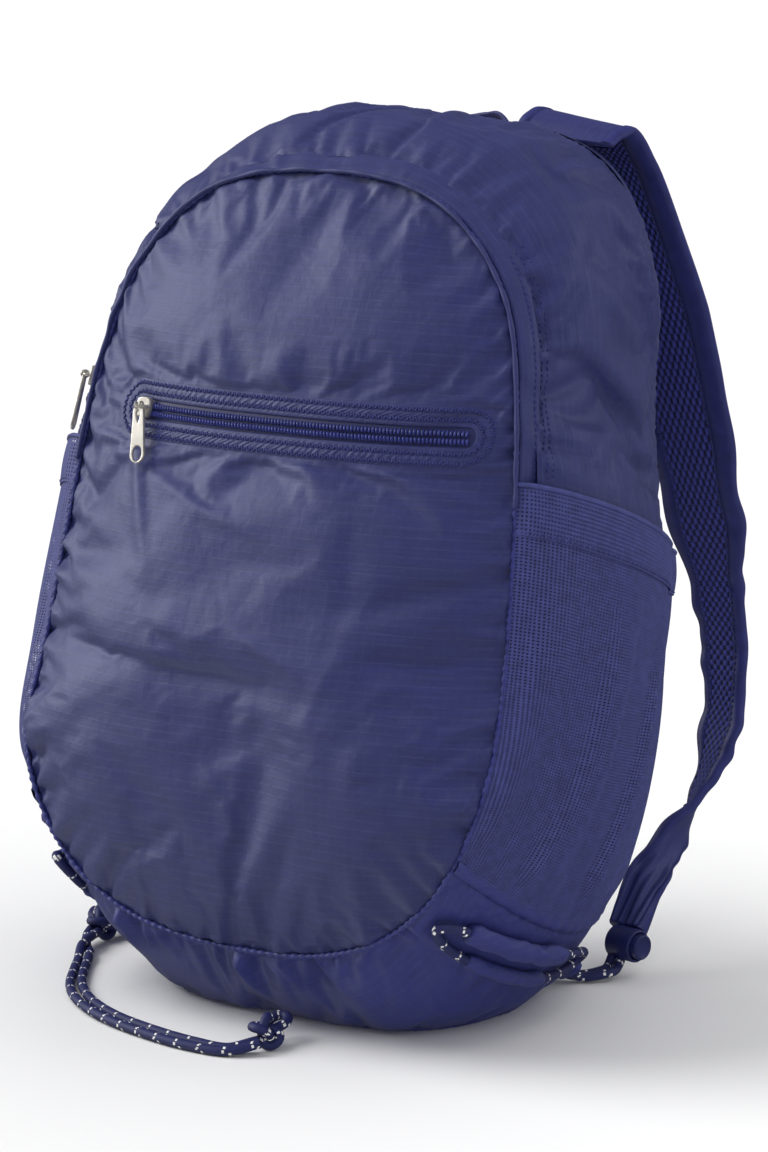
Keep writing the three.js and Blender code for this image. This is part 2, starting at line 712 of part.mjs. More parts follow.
function cordLock() {
  const barrel = new THREE.LatheGeometry([
    new THREE.Vector2(0, -LOCK.length / 2),
    new THREE.Vector2(LOCK.radius - 1.6, -LOCK.length / 2),
    new THREE.Vector2(LOCK.radius, -LOCK.length / 2 + 1.6),
    new THREE.Vector2(LOCK.radius, LOCK.length / 2 - 1.2),
    new THREE.Vector2(LOCK.radius - 1.2, LOCK.length / 2),
    new THREE.Vector2(LOCK.bore, LOCK.length / 2),
    new THREE.Vector2(LOCK.bore, LOCK.length / 2 - LOCK.boreDepth),
    new THREE.Vector2(0, LOCK.length / 2 - LOCK.boreDepth),
  ], 16);
  const seat = LOCK.length / 2 - LOCK.boreDepth + 3.1;
  const button = new THREE.LatheGeometry([
    new THREE.Vector2(0, seat),
    new THREE.Vector2(LOCK.button, seat),
    new THREE.Vector2(LOCK.button, seat + LOCK.buttonLength - 1),
    new THREE.Vector2(LOCK.button - 1, seat + LOCK.buttonLength),
    new THREE.Vector2(0, seat + LOCK.buttonLength),
  ], 16);
  const out = new THREE.Vector3(Math.cos(LOCK_TURN), Math.sin(LOCK_TURN), 0);
  const side = LOCK_LINE.clone().addScaledVector(out, -LOCK_LINE.dot(out)).normalize();
  const shift = LOCK_CENTRE.clone().addScaledVector(out, 3.4);
  const place = new THREE.Matrix4().makeBasis(side, out, side.clone().cross(out)).setPosition(shift);
  barrel.applyMatrix4(place);
  button.applyMatrix4(place);
  const window = new THREE.Shape();
  const reach = STRAND_HALF + CORD_RADIUS + CLEAR;
  const half = CORD_RADIUS + 2 * CLEAR;
  window.moveTo(-reach, -half);
  window.lineTo(reach, -half);
  window.lineTo(reach, half);
  window.lineTo(-reach, half);
  window.closePath();
  const slot = new THREE.ExtrudeGeometry(window, { depth: 40, bevelEnabled: false });
  slot.translate(0, 0, -20);
  const across = new THREE.Vector3(1, 0, 0);
  const deep = LOCK_LINE.clone().cross(across).normalize();
  slot.applyMatrix4(new THREE.Matrix4().makeBasis(across, deep, LOCK_LINE).setPosition(LOCK_CENTRE));
  return [
    piece("toggle_barrel", cut(barrel, slot), "plastic"),
    piece("toggle_button", button, "plastic"),
  ];
}

function cornerTab() {
  const rings = [];
  const rows = [
    { lift: 0.5, wide: 12, high: 6 },
    { lift: 5, wide: 11, high: 5.6 },
    { lift: 11, wide: 8.6, high: 5 },
  ];
  const normal = bandNormal(TAB.station, TAB.share);
  const wide = new THREE.Vector3(1, 0, 0).addScaledVector(normal, -normal.x).normalize();
  const high = normal.clone().cross(wide);
  for (const row of rows) {
    const ring = [];
    for (let k = 0; k < 10; k += 1) {
      const turn = (2 * Math.PI * k) / 10;
      ring.push(tabPoint(row.lift)
        .addScaledVector(wide, row.wide * Math.cos(turn))
        .addScaledVector(high, row.high * Math.sin(turn)));
    }
    rings.push(ring);
  }
  return piece("corner_tab", cut(loft(rings), channel(strapCordPoints(), 24)), "nylon");
}

// The cord loop of the lower side runs through a bunched tunnel and back below it.
const TUNNEL = { station: 2.07, from: 0.14, to: 0.56, lift: 5.2 };

function sideCordPoints() {
  const { station, lift } = TUNNEL;
  return [
    offBand(station, 0.42, lift), offBand(station, 0.58, lift), offBand(station - 0.01, 0.7, lift),
    offBand(station - 0.07, 0.77, lift), offBand(station - 0.16, 0.77, lift - 1),
    offBand(station - 0.23, 0.69, lift - 1.6), offBand(station - 0.24, 0.5, lift - 1.6),
    offBand(station - 0.24, 0.22, lift - 1.6), offBand(station - 0.2, 0.095, lift - 1),
    offBand(station - 0.1, 0.05, lift), offBand(station - 0.02, 0.09, lift),
    offBand(station, 0.24, lift), offBand(station, 0.4, lift),
  ];
}

function sideCord() {
  return piece("side_cord", tube(sideCordPoints(), CORD_RADIUS, 24, 6), "cord");
}

function cordTunnel() {
  const rings = [];
  const steps = 7;
  for (let k = 0; k <= steps; k += 1) {
    const share = TUNNEL.from + ((TUNNEL.to - TUNNEL.from) * k) / steps;
    const out = bandNormal(TUNNEL.station, share);
    const line = bandPoint(TUNNEL.station, share + 0.01).sub(bandPoint(TUNNEL.station, share)).normalize();
    const high = line.clone().cross(out);
    const bunch = 1 + 0.09 * Math.cos(k * 2.1) - (k === 0 || k === steps ? 0.12 : 0);
    const ring = [];
    for (let i = 0; i < 8; i += 1) {
      const turn = (2 * Math.PI * i) / 8;
      ring.push(offBand(TUNNEL.station, share, TUNNEL.lift)
        .addScaledVector(high, 6.4 * bunch * Math.cos(turn))
        .addScaledVector(out, 4.4 * bunch * Math.sin(turn)));
    }
    rings.push(ring);
  }
  return piece("cord_tunnel", cut(loft(rings), channel(sideCordPoints(), 24)), "nylon");
}

function sideOf(name, mirror) {
  const group = new THREE.Group();
  group.name = `${name}_side`;
  group.scale.set(mirror, 1, 1);
  const parts = [
    ...meshPocket(), strap(), strapCord(), ...cordLock(), cornerTab(), sideCord(), cordTunnel(),
  ];
  for (const part of parts) {
    part.name = `${name}_${part.name}`;
    group.add(part);
  }
  return group;
}

// The free cord end on the floor

function strands(name, route, steps) {
  const middle = new THREE.CatmullRomCurve3(route.map(vec), false, "centripetal");
  const count = route.length - 1;
  return ["a", "b"].map((strand, k) => {
    const points = [];
    for (let i = 0; i <= 2 * count; i += 1) {
      const at = middle.getPoint(i / (2 * count));
      const line = middle.getTangent(i / (2 * count));
      const beside = new THREE.Vector3(-line.y, line.x, 0).normalize();
      points.push(at.addScaledVector(beside, k === 0 ? TAIL_HALF : -TAIL_HALF));
    }
    return piece(`${name}_${strand}`, tube(points, CORD_RADIUS, steps, 6), "cord");
  });
}

// An overhand knot drawn tight, with a short loop left standing out of it.
function knot(name, { at, turn }) {
  const wrap = (radius, tilt, lean, shift) => {
    const ring = new THREE.TorusGeometry(radius, CORD_RADIUS, 5, 8);
    ring.rotateX(tilt);
    ring.rotateZ(lean);
    ring.translate(shift, 0, 0);
    return ring;
  };
  const loop = new THREE.TorusGeometry(4.6, CORD_RADIUS, 5, 8);
  loop.scale(1.35, 1, 1);
  loop.rotateX(0.5);
  loop.translate(11.5, 0, 1.5);
  const body = join(wrap(5.2, Math.PI / 2, 0.9, -2.4), wrap(5.2, Math.PI / 2, 2.2, 2), loop);
  body.rotateZ(turn);
  body.translate(...at);
  return piece(name, body, "cord");
}

const pack = new THREE.Group();
pack.name = "packable_backpack";
pack.add(frontPanel(), gusset(), base(), backPanel(), ...mainZip(), frontPiping(), ...pocketZip());
pack.add(...pocketSlider(), ...mainSlider(), haulLoop());
pack.add(sideOf("right", 1), sideOf("left", -1));
pack.updateMatrixWorld(true);
const extent = new THREE.Box3().setFromObject(pack);
pack.add(...strands("tail_lead", TAIL_LEAD, 6), ...strands("tail_cord", TAIL_ROUTE, 22));
pack.add(knot("knot_near", KNOT_NEAR), knot("knot_far", KNOT_FAR));
pack.position.set(-(extent.min.x + extent.max.x) / 2, -(extent.min.y + extent.max.y) / 2, 0);
pack.updateMatrixWorld(true);

export default pack;
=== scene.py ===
"""Looks of a stuffed navy packable backpack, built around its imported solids."""
import math

import bpy
import numpy as np
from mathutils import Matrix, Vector
from mathutils.bvhtree import BVHTree


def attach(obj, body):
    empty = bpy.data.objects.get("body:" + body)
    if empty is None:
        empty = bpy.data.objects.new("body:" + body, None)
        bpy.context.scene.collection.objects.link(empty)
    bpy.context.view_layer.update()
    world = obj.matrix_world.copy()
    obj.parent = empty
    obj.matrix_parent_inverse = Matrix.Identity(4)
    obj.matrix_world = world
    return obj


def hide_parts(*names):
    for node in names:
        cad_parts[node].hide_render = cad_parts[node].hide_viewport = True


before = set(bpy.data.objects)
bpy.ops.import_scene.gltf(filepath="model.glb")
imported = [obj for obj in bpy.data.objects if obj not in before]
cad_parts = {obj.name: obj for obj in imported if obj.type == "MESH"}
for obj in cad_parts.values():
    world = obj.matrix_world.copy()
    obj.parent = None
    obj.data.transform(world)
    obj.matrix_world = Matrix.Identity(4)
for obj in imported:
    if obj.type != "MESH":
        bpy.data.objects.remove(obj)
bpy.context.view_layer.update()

# Sizes in millimetres, in the part's own frame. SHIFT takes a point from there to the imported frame.
SHIFT = np.array([0.0, -62.8908, 0.0])
SIDES = (("right", 1), ("left", -1))
LOOP = 16
MESH_WALL = 1.2
CLEAR = 0.35
FRONT_FULL = 33
BACK_FULL = 7
FRONT_HEART = np.array([0.0, -46.0, 212.0])
BACK_HEART = np.array([0.0, 100.0, 220.0])
PACK_HEART = np.array([0.0, 20.0, 215.0])
FLAP_EDGE = 11.5
GUSSET_EDGE = 9.2
ZIP_FROM = 5.0
ZIP_X = 12.0
ZIP_Z = 309.0
ZIP_LENGTH = 192.0
ZIP_SLOT = 9.4
TOOTH_PITCH = 1.9
POCKET_FOOT = 0.16
POCKET_TOP_FRONT = 4.82
POCKET_TOP_BACK = 4.38
POCKET_FULL = 17
POCKET_HEIGHT = 215
HEM_HEIGHT = 19
ARCH_FROM = POCKET_TOP_FRONT + 0.02
FLAP_FROM = POCKET_TOP_FRONT - 0.1
ARCH_STITCHED_TO = 6.3
CORD_RADIUS = 2.5
STRAND_HALF = 2.85
TAIL_HALF = 2.62
BASE_SEAM_BACK = 2.2
BASE_SEAM_CLIMB = 0.3
SIDE_CORD_STATION = 2.07
TAB_STATION = np.array([1.5])
TAB_SHARE = np.array([0.95])

# Seam lines of the right half from the bottom centre to the crown: front seam, fullest line, back seam.
STATIONS = np.array([
    [[0, -82, 45], [0, 2, -19], [0, 93, 9]],
    [[66, -82, 53], [72, 2, -13], [64, 94, 11]],
    [[113, -80, 82], [128, 4, 41], [104, 96, 33]],
    [[140, -73, 132], [153, 10, 105], [124, 99, 102]],
    [[141, -51, 193], [157, 20, 190], [135, 100, 190]],
    [[131, -25, 306], [149, 35, 302], [137, 100, 300]],
    [[113, -8, 376], [135, 44, 391], [130, 100, 396]],
    [[67, 0, 420], [84, 48, 446], [89, 100, 443]],
    [[0, 2, 431], [0, 50, 460], [0, 100, 452]],
], dtype=float)
RAILS = np.concatenate([STATIONS, STATIONS[1:-1][::-1] * [-1, 1, 1]])

# Broad folds of the front: x, z, direction in degrees, length, width, depth.
FRONT_FOLDS = [
    (-35, 186, -3, 95, 10, -2.6), (-40, 206, -3, 90, 13, 2.2), (100, 232, 14, 34, 7, -3.0),
    (104, 200, -4, 36, 7, -3.0), (96, 160, -24, 38, 8, -3.2), (-112, 262, -20, 36, 8, -3.2),
    (-112, 232, 8, 36, 8, -3.0), (-104, 140, 35, 40, 9, -3.0), (-20, 78, 84, 40, 9, -1.6),
    (34, 84, 70, 38, 9, -1.3), (-58, 94, 62, 36, 9, -1.3), (108, 318, 28, 24, 7, -2.4),
    (-96, 322, -32, 26, 7, -2.4), (20, 338, 4, 80, 9, 2.0), (-30, 405, 70, 20, 8, -2.2),
]

# Overhanging folds of the front and of both sides: place across, height, direction in degrees, length, depth.
FRONT_LEDGES = [(-42, 188, -3, 78, 1.9), (12, 130, 82, 46, 1.5)]
SIDE_LEDGES = [(62, 327, -38, 34, 4.2), (40, 386, 50, 30, 3.4), (96, 372, -68, 40, 3.6),
               (84, 292, -20, 30, 3.0)]

# Facing round the pocket zip: distance from the zip's middle line, lift off the front.
FACING = [(4.3, -1.2), (4.6, -0.1), (5.2, 0.3), (6.2, 0.4), (7.2, 0.4), (8.2, 0.35), (9.2, 0.5), (10.2, 0.6),
          (11.2, 0.5), (12.2, 0.35), (13.2, 0.45), (14.2, 0.3), (15.0, -0.5)]

# Flap over the main zip and the zip's tape: distance from the front seam, lift off the band.
FLAP = [(0.2, 0.2), (1.2, 1.6), (3.0, 1.8), (5.0, 1.7), (7.0, 1.6), (9.0, 1.6), (10.6, 1.6), (11.4, 1.3),
        (11.6, 0.7)]
FLAP_STITCH_ROW = 5
ZIP_TAPE_STRIP = [(0.6, -0.6), (3, -0.5), (6, -0.5), (9, -0.6), (12, -0.9)]

# Binding along a pocket's foot: place above the base seam in stations, lift off the band.
FOOT_BINDING = [(-0.03, -0.4), (-0.025, 1.0), (0.02, 1.9), (0.07, 1.9), (0.095, 0.8), (0.1, -0.2)]

# Right strap from the back's top seam to its gathered end: x, y, z, width, thickness, twist in degrees.
STRAP_ROWS = np.array([
    [78, 102.6, 443, 60, 3.4, 0], [79, 112, 450, 61, 3.8, 6], [81, 125, 449.5, 62, 4.2, 10],
    [84, 139, 431, 62, 4.4, 11], [91, 152, 394, 62, 4.4, 7], [98.5, 167, 350, 62, 4.4, 4],
    [105, 182, 298, 58, 4.4, 6], [109, 198, 243, 50, 4.4, 4], [112.5, 209, 198, 33, 4.4, 0],
    [116, 213, 160, 27, 4.4, 4], [118, 208, 122, 28, 4.4, 15], [116, 191, 88, 24, 4.6, 40],
    [112, 164, 63, 21, 5.5, 98], [109.5, 141, 45, 21, 8.0, 155], [109, 124.0, 24.3, 20, 9.6, 180],
])
# The left strap lies lower where it leaves the back.
LEFT_STRAP_SAG = np.array([14, 25, 30, 26, 13, 3, 0, 0, 0, 0, 0, 0, 0, 0, 0])
# Span over which the strap's weave, knit and ripples repeat, and the size of a knitted loop.
STRAP_SPAN = 640
KNIT_WIDE = 4.2
KNIT_LONG = 6.7

# Binding folded over a strap edge: place across the strap, inner face or outer, lift off it.
BINDING_FOLD = [(0.54, True, -0.2), (0.56, True, 0.75), (0.78, True, 0.95), (0.96, True, 0.8),
                (1.025, True, -0.6), (1.03, False, -0.6), (0.98, False, 0.6), (0.9, False, 0.8),
                (0.82, False, 0.7), (0.8, False, -0.2)]

# Free cord from the left corner tab through the near knot to the far knot. A knot has a place and a turn.
TAIL_LEAD = [[-102.1, 86.4, 9], [-113, 83, 4.4], [-131, 72, 3], [-147, 52, 3.4], [-153.5, 34, 4.6],
             [-154.6, 22.8, 7.5]]
TAIL_ROUTE = [[-159.2, 6.9, 7.5], [-152, -8, 3.4], [-141, -26, 2.9], [-128, -47, 2.9], [-113, -68, 2.9],
              [-93, -86, 2.9], [-66, -100.5, 2.9], [-34, -109.5, 2.9], [-4, -113.5, 2.9], [18, -111.5, 3.2],
              [29.8, -101.2, 6.4]]
KNOT_NEAR = ([-160, 13.5, 8.4], 2.26)
KNOT_FAR = ([28, -93, 8.4], 1.7)
KNOT_SIZE = 2.65
KNOT_TILT = 0.9

# Loop of the side cord: station from its upper run, place across the band, lift from its upper run.
SIDE_CORD = np.array([
    (0, 0.42, 0), (0, 0.58, 0), (-0.01, 0.7, 0), (-0.07, 0.77, 0), (-0.16, 0.77, -1), (-0.23, 0.69, -1.6),
    (-0.24, 0.5, -1.6), (-0.24, 0.22, -1.6), (-0.2, 0.095, -1), (-0.1, 0.05, 0), (-0.02, 0.09, 0),
    (0, 0.24, 0), (0, 0.4, 0),
])
SIDE_CORD_LIFT = 5.2
# Tunnels round both runs of that loop: station from the upper run, first and last place, lift, half height,
# half depth, phase of the bunching.
TUNNELS = ((0.0, 0.135, 0.565, 5.0, 5.5, 4.3, 0.0), (-0.24, 0.2, 0.56, 3.6, 4.1, 3.6, 2.0))

# Cord lock: profiles of barrel and button as radius and place along the axis.
LOCK_CENTRE = np.array([109.0, 118.5, 17.5])
LOCK_LINE = np.array([0.0, 0.63, 0.777]) / math.hypot(0.63, 0.777)
LOCK_TURN = -0.2
LOCK_SHIFT = 3.4
LOCK_SCALE = 0.85
BARREL = [(6.0, -10.0), (8.6, -10.0), (9.6, -9.7), (10.2, -9.1), (10.5, -8.2), (10.5, 8.4), (10.3, 9.3),
          (9.8, 9.85), (9.2, 10.0), (8.8, 9.9), (8.55, 9.5), (8.5, 6.5), (8.5, 2.6), (1.0, 2.6)]
BUTTON = [(1.0, 6.75), (7.9, 6.75), (8.0, 7.0), (8.0, 13.0), (7.85, 13.6), (7.4, 14.0), (6.9, 14.1),
          (6.5, 14.0), (6.2, 13.75), (1.0, 13.65)]

# Corner tab: lift off the band, half width, half height.
TAB_RINGS = ((-0.5, 13, 6.6), (0.8, 12.4, 6.2), (3, 11.6, 5.8), (6, 10.6, 5.5), (9, 9.4, 5.2),
             (10.6, 8.9, 5.1), (11.2, 8.2, 4.5), (11.0, 6.5, 3.4))

# Haul loop: route, direction of its thickness, and section in half widths and half thicknesses.
HAUL_ROUTE = np.array([[-38, 103.2, 430], [-39, 105.5, 441], [-36, 112, 450], [-22, 122, 449], [0, 126, 446],
                       [22, 122, 449], [36, 112, 450], [39, 105.5, 441], [38, 103.2, 430]], float)
HAUL_FACE = np.array([0, 0.8, 0.6])
HAUL_SECTION = [(-1, -0.5), (-0.93, -1), (0, -1.05), (0.93, -1), (1, -0.5), (1, 0.5), (0.93, 1), (0, 1.05),
                (-0.93, 1), (-1, 0.5)]
HAUL_HALF_WIDTH = 6
HAUL_HALF_THICK = 0.9

# Zip sliders and pulls: half outlines in the plane of the plate, listed from the bottom up.
BAIL_RISE = 6.1
PULL_LEAN = 0.19
PULL_END = -25.6
PULL_END_RADIUS = 4.55
PULL_EDGE = np.array([[4.35, -24], [4.0, -18], [3.6, -10], [3.35, -4], [3.0, -1.6], [2.0, 0.2]])
PULL_TOP = np.array([[0.8, 1.1], [-0.8, 1.1]])
PULL_DROP = np.array([[0, -9.4], [0.75, -7.4], [1.25, -5.4], [1.35, -4.0], [1.0, -2.8], [0, -2.3]])
PULL_EYE = 1.75
SLIDER_EDGE = np.array([[3.2, -5], [4.2, -1.5], [4.4, 1], [4.3, 3.0], [3.6, 4.6], [2.0, 5.4]])
SLIDER_BAIL = np.array([[-3.3, 0, 2], [-3.3, 0, 4.6], [-2.4, 0, 5.9], [0, 0, 6.1], [2.4, 0, 5.9],
                        [3.3, 0, 4.6], [3.3, 0, 2]])
SLIDER_NOSE = [(0.5, 0.0), (1.9, 0.0), (2.0, 0.6), (1.6, 1.5), (0.6, 1.9)]


# Small geometry

def unit(v):
    v = np.asarray(v, float)
    return v / np.maximum(np.linalg.norm(v, axis=-1, keepdims=True), 1e-12)


def metres(points):
    return (np.asarray(points, float) + SHIFT) / 1000


def smooth(x, low, high):
    t = np.clip((np.asarray(x, float) - low) / (high - low), 0, 1)
    return t * t * (3 - 2 * t)


def full_turn(count):
    return np.linspace(0, 2 * math.pi, count, endpoint=False)


def spin(angle):
    """A turn about the third axis for rows of points."""
    c, s = math.cos(angle), math.sin(angle)
    return np.array([[c, s, 0], [-s, c, 0], [0, 0, 1]])


def turned(x, z, angle):
    """Distances along and across a direction at an angle."""
    c, s = math.cos(angle), math.sin(angle)
    return x * c + z * s, z * c - x * s


def off_floor(points, lowest=0.0):
    points[..., 2] = np.maximum(points[..., 2], lowest)
    return points


def hermite(p1, p2, m1, m2, f):
    return (2 * p1 - 2 * p2 + m1 + m2) * f ** 3 + (-3 * p1 + 3 * p2 - 2 * m1 - m2) * f ** 2 + m1 * f + p1


def catmull(points, t, power):
    """Points of a centripetal spline (power 0.5) or a uniform one (power 0) at shares t of its knots."""
    p = np.asarray(points, float)
    p = np.concatenate([[2 * p[0] - p[1]], p, [2 * p[-1] - p[-2]]])
    count = len(p) - 3
    spot = np.clip(np.asarray(t, float) * count, 0, count - 1e-9)
    i = spot.astype(int)
    p0, p1, p2, p3 = (p[i + k] for k in range(4))
    if power == 0:
        m1, m2 = (p2 - p0) / 2, (p3 - p1) / 2
    else:
        d1, d2, d3 = (np.linalg.norm(b - a, axis=1, keepdims=True) ** power + 1e-9
                      for a, b in ((p0, p1), (p1, p2), (p2, p3)))
        m1 = d2 * ((p1 - p0) / d1 - (p2 - p0) / (d1 + d2) + (p2 - p1) / d2)
        m2 = d2 * ((p2 - p1) / d2 - (p3 - p1) / (d2 + d3) + (p3 - p2) / d3)
    return hermite(p1, p2, m1, m2, (spot - i)[:, None])


def run_length(line):
    """Distance of each point of a line from its start."""
    return np.concatenate([[0], np.cumsum(np.linalg.norm(np.diff(line, axis=0), axis=1))])


def read_at(table, along, places):
    """Rows of a table that goes with distances along a line, read at other distances."""
    return np.stack([np.interp(places, along, column) for column in table.T], axis=1)


def even(points, step):
    """The same line with points at even steps."""
    p = np.asarray(points, float)
    along = run_length(p)
    count = max(2, int(round(along[-1] / step)) + 1)
    return read_at(p, along, np.linspace(0, along[-1], count))


def spline(points, step):
    return even(catmull(points, np.linspace(0, 1, 40 * len(points)), 0.5), step)


def tangents(line):
    return unit(np.gradient(line, axis=0))


def tube_points(line, radius, sides):
    """Rings of points round a line. The radius is one number, one for each ring or one for each point."""
    tangent = tangents(line)
    side = np.empty_like(tangent)
    start = np.cross(tangent[0], [0, 0, 1.0])
    if np.linalg.norm(start) < 0.2:
        start = np.cross(tangent[0], [1.0, 0, 0])
    side[0] = unit(start)
    for k in range(1, len(line)):
        side[k] = unit(side[k - 1] - tangent[k] * np.dot(side[k - 1], tangent[k]))
    turn = full_turn(sides)[None, :, None]
    ring = np.cos(turn) * side[:, None] + np.sin(turn) * np.cross(tangent, side)[:, None]
    radius = np.asarray(radius, float)
    return line[:, None] + ring * radius.reshape(radius.shape + (1,) * (3 - radius.ndim))


def grid_faces(rows, columns, around=False):
    """Quads of a grid with rows x columns points, row by row."""
    j, i = np.meshgrid(np.arange(rows - 1), np.arange(columns if around else columns - 1), indexing="ij")
    a = j * columns + i
    b = j * columns + (i + 1) % columns
    return np.stack([a, b, b + columns, a + columns], axis=-1).reshape(-1, 4)


def capped(rows, sides):
    """Faces of a tube with both ends closed."""
    faces = grid_faces(rows, sides, around=True).tolist()
    last = (rows - 1) * sides
    return faces + [list(range(sides))[::-1], [last + k for k in range(sides)]]


def lathe(profile, centre, axis, segments):
    """Points and faces of a turned form: profile rows are radius and place along the axis."""
    axis = unit(axis)
    a = unit(np.cross(axis, [0, 0, 1.0]))
    b = np.cross(axis, a)
    turn = full_turn(segments)
    ring = np.cos(turn)[:, None] * a + np.sin(turn)[:, None] * b
    points = np.concatenate([centre + axis * along + ring * radius for radius, along in profile])
    return points, capped(len(profile), segments)


def grid_uv(u, v):
    """Cloth coordinates of a grid's points, row by row."""
    return np.stack(np.broadcast_arrays(u, v), axis=-1).reshape(-1, 2)


def outward(points, faces):
    """Faces turned so that they look away from the pack's heart."""
    faces = np.asarray(faces)
    a, b, c = (points[faces[:, k]] for k in range(3))
    away = np.einsum("ij,ij->i", np.cross(b - a, c - a), a - PACK_HEART).sum()
    return faces if away > 0 else faces[:, ::-1]


def merged(*forms):
    points, faces, start = [], [], 0
    for p, f in forms:
        points.append(np.asarray(p))
        faces += [[i + start for i in face] for face in f]
        start += len(p)
    return np.concatenate(points), faces


# Pieces

def place(name, data):
    obj = bpy.data.objects.new(name, data)
    bpy.context.collection.objects.link(obj)
    return obj


def piece(name, points, faces, material, body="pack", nodes=(), slot="nylon", uv=None, sign=1):
    """A mesh piece from points in millimetres, mirrored where the sign is -1. It rides on a body and may
    stand for CAD nodes."""
    mesh = bpy.data.meshes.new(name)
    faces = faces.tolist() if isinstance(faces, np.ndarray) else faces
    if sign < 0:
        faces = [face[::-1] for face in faces]
    mesh.from_pydata(metres(points * np.array([sign, 1, 1])).tolist(), [], faces)
    if uv is not None:
        layer = mesh.uv_layers.new(name="cloth")
        corner = np.empty(len(mesh.loops), dtype=np.int32)
        mesh.loops.foreach_get("vertex_index", corner)
        layer.data.foreach_set("uv", np.asarray(uv, float)[corner].ravel())
    mesh.polygons.foreach_set("use_smooth", np.ones(len(mesh.polygons), dtype=bool))
    mesh.materials.append(material)
    mesh.update()
    obj = place(name, mesh)
    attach(obj, body)
    if nodes:
        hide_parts(*nodes)
    return obj


def grid_piece(name, grid, material, **labels):
    """A cloth piece from a grid of points, its faces turned outward."""
    points = grid.reshape(-1, 3)
    return piece(name, points, outward(points, grid_faces(*grid.shape[:2])), material, **labels)


def tube_piece(name, line, radius, material, nodes=(), slot="nylon", sides=10):
    points = tube_points(line, radius, sides).reshape(-1, 3)
    around = np.linspace(0, 2 * math.pi * np.mean(radius), sides)
    uv = grid_uv(run_length(line)[:, None], around[None])
    return piece(name, points, capped(len(line), sides), material, nodes=nodes, slot=slot, uv=uv)


def thicken(obj, thick):
    modifier = obj.modifiers.new("thickness", "SOLIDIFY")
    modifier.thickness = thick / 1000
    modifier.offset = -1.0
    modifier.use_even_offset = False


# The stuffed form. Its band runs round the pack between the front seam and the back seam. A station is a
# place along the band: 0 at the bottom centre, 8 at the crown.

def from_foot(station):
    """How many stations a place lies from the bottom centre, on either side."""
    turn = np.mod(station, LOOP)
    return np.minimum(turn, LOOP - turn)


def rail(kind, station):
    t = np.mod(np.asarray(station, float), LOOP)
    i = np.floor(t).astype(int) % LOOP
    p0, p1, p2, p3 = (RAILS[(i + k) % LOOP, kind] for k in (-1, 0, 1, 2))
    return hermite(p1, p2, (p2 - p0) / 2, (p3 - p1) / 2, (t - np.floor(t))[..., None])


def band_point(station, share):
    station, share = np.broadcast_arrays(np.asarray(station, float), np.asarray(share, float))
    s = share[..., None]
    p = rail(0, station) * (2 * s - 1) * (s - 1) + rail(1, station) * 4 * s * (1 - s)
    return off_floor(p + rail(2, station) * s * (2 * s - 1))


def band_normal(station, share):
    step = 1e-3
    station, share = np.broadcast_arrays(np.asarray(station, float), np.asarray(share, float))
    along = band_point(station + step, share) - band_point(station - step, share)
    across = band_point(station, share + step) - band_point(station, share - step)
    normal = unit(np.cross(along, across))
    away = np.einsum("...i,...i->...", normal, band_point(station, share) - PACK_HEART)
    return np.where(away[..., None] < 0, -normal, normal)


def off_band(station, share, lift):
    lift = np.asarray(lift, float)[..., None]
    return band_point(station, share) + band_normal(station, share) * lift


def band_depth(station):
    middle = band_point(station, 0.5)
    return (np.linalg.norm(middle - band_point(station, 0.0), axis=-1)
            + np.linalg.norm(middle - band_point(station, 1.0), axis=-1))


def base_seam(share):
    return BASE_SEAM_BACK + BASE_SEAM_CLIMB * (1 - share) ** 2


def seam_line(station, out, forward):
    """A line beside the front seam, lifted out of the band and moved forward."""
    seam = rail(0, station)
    rearward = unit(band_point(station, 0.02) - seam)
    return seam + band_normal(station, 0.01) * out - rearward * forward


def folds(x, z):
    height = np.zeros_like(x)
    for at_x, at_z, turn, length, width, depth in FRONT_FOLDS:
        along, across = turned(x - at_x, z - at_z, math.radians(turn))
        height += depth * np.exp(-(along / length) ** 2 - (across / width) ** 2)
    return height


def front_point(station, reach):
    r = np.asarray(reach, float)
    p = FRONT_HEART + (rail(0, station) - FRONT_HEART) * r[..., None]
    p[..., 1] -= FRONT_FULL * (1 - r ** 2.6) + folds(p[..., 0], p[..., 2]) * (1 - r ** 12)
    return p


def back_point(station, reach):
    r = np.asarray(reach, float)
    p = BACK_HEART + (rail(2, station) - BACK_HEART) * r[..., None]
    p[..., 1] += BACK_FULL * (1 - r ** 3)
    return p


def disc_grid(rows, columns, kind, heart):
    """Station, reach and distance from the seam of a square grid drawn out to a round seam."""
    b, a = np.meshgrid(np.linspace(-1, 1, rows), np.linspace(-1, 1, columns), indexing="ij")
    across = a * np.sqrt(1 - b * b / 2)
    up = b * np.sqrt(1 - a * a / 2)
    reach = np.minimum(1, np.hypot(across, up))
    station = ((np.arctan2(up, across) / (2 * math.pi) + 0.25) % 1) * LOOP
    edge = np.linalg.norm(rail(kind, station) - heart, axis=-1)
    return station, reach, ((1 - reach) * edge).ravel()


SEAM_TABLE = np.linspace(0, LOOP, 4001)
SEAM_AIM = rail(0, SEAM_TABLE) - FRONT_HEART
SEAM_ALONG = run_length(SEAM_AIM)
SEAM_TURN = np.unwrap(np.arctan2(SEAM_AIM[:, 2], SEAM_AIM[:, 0]))


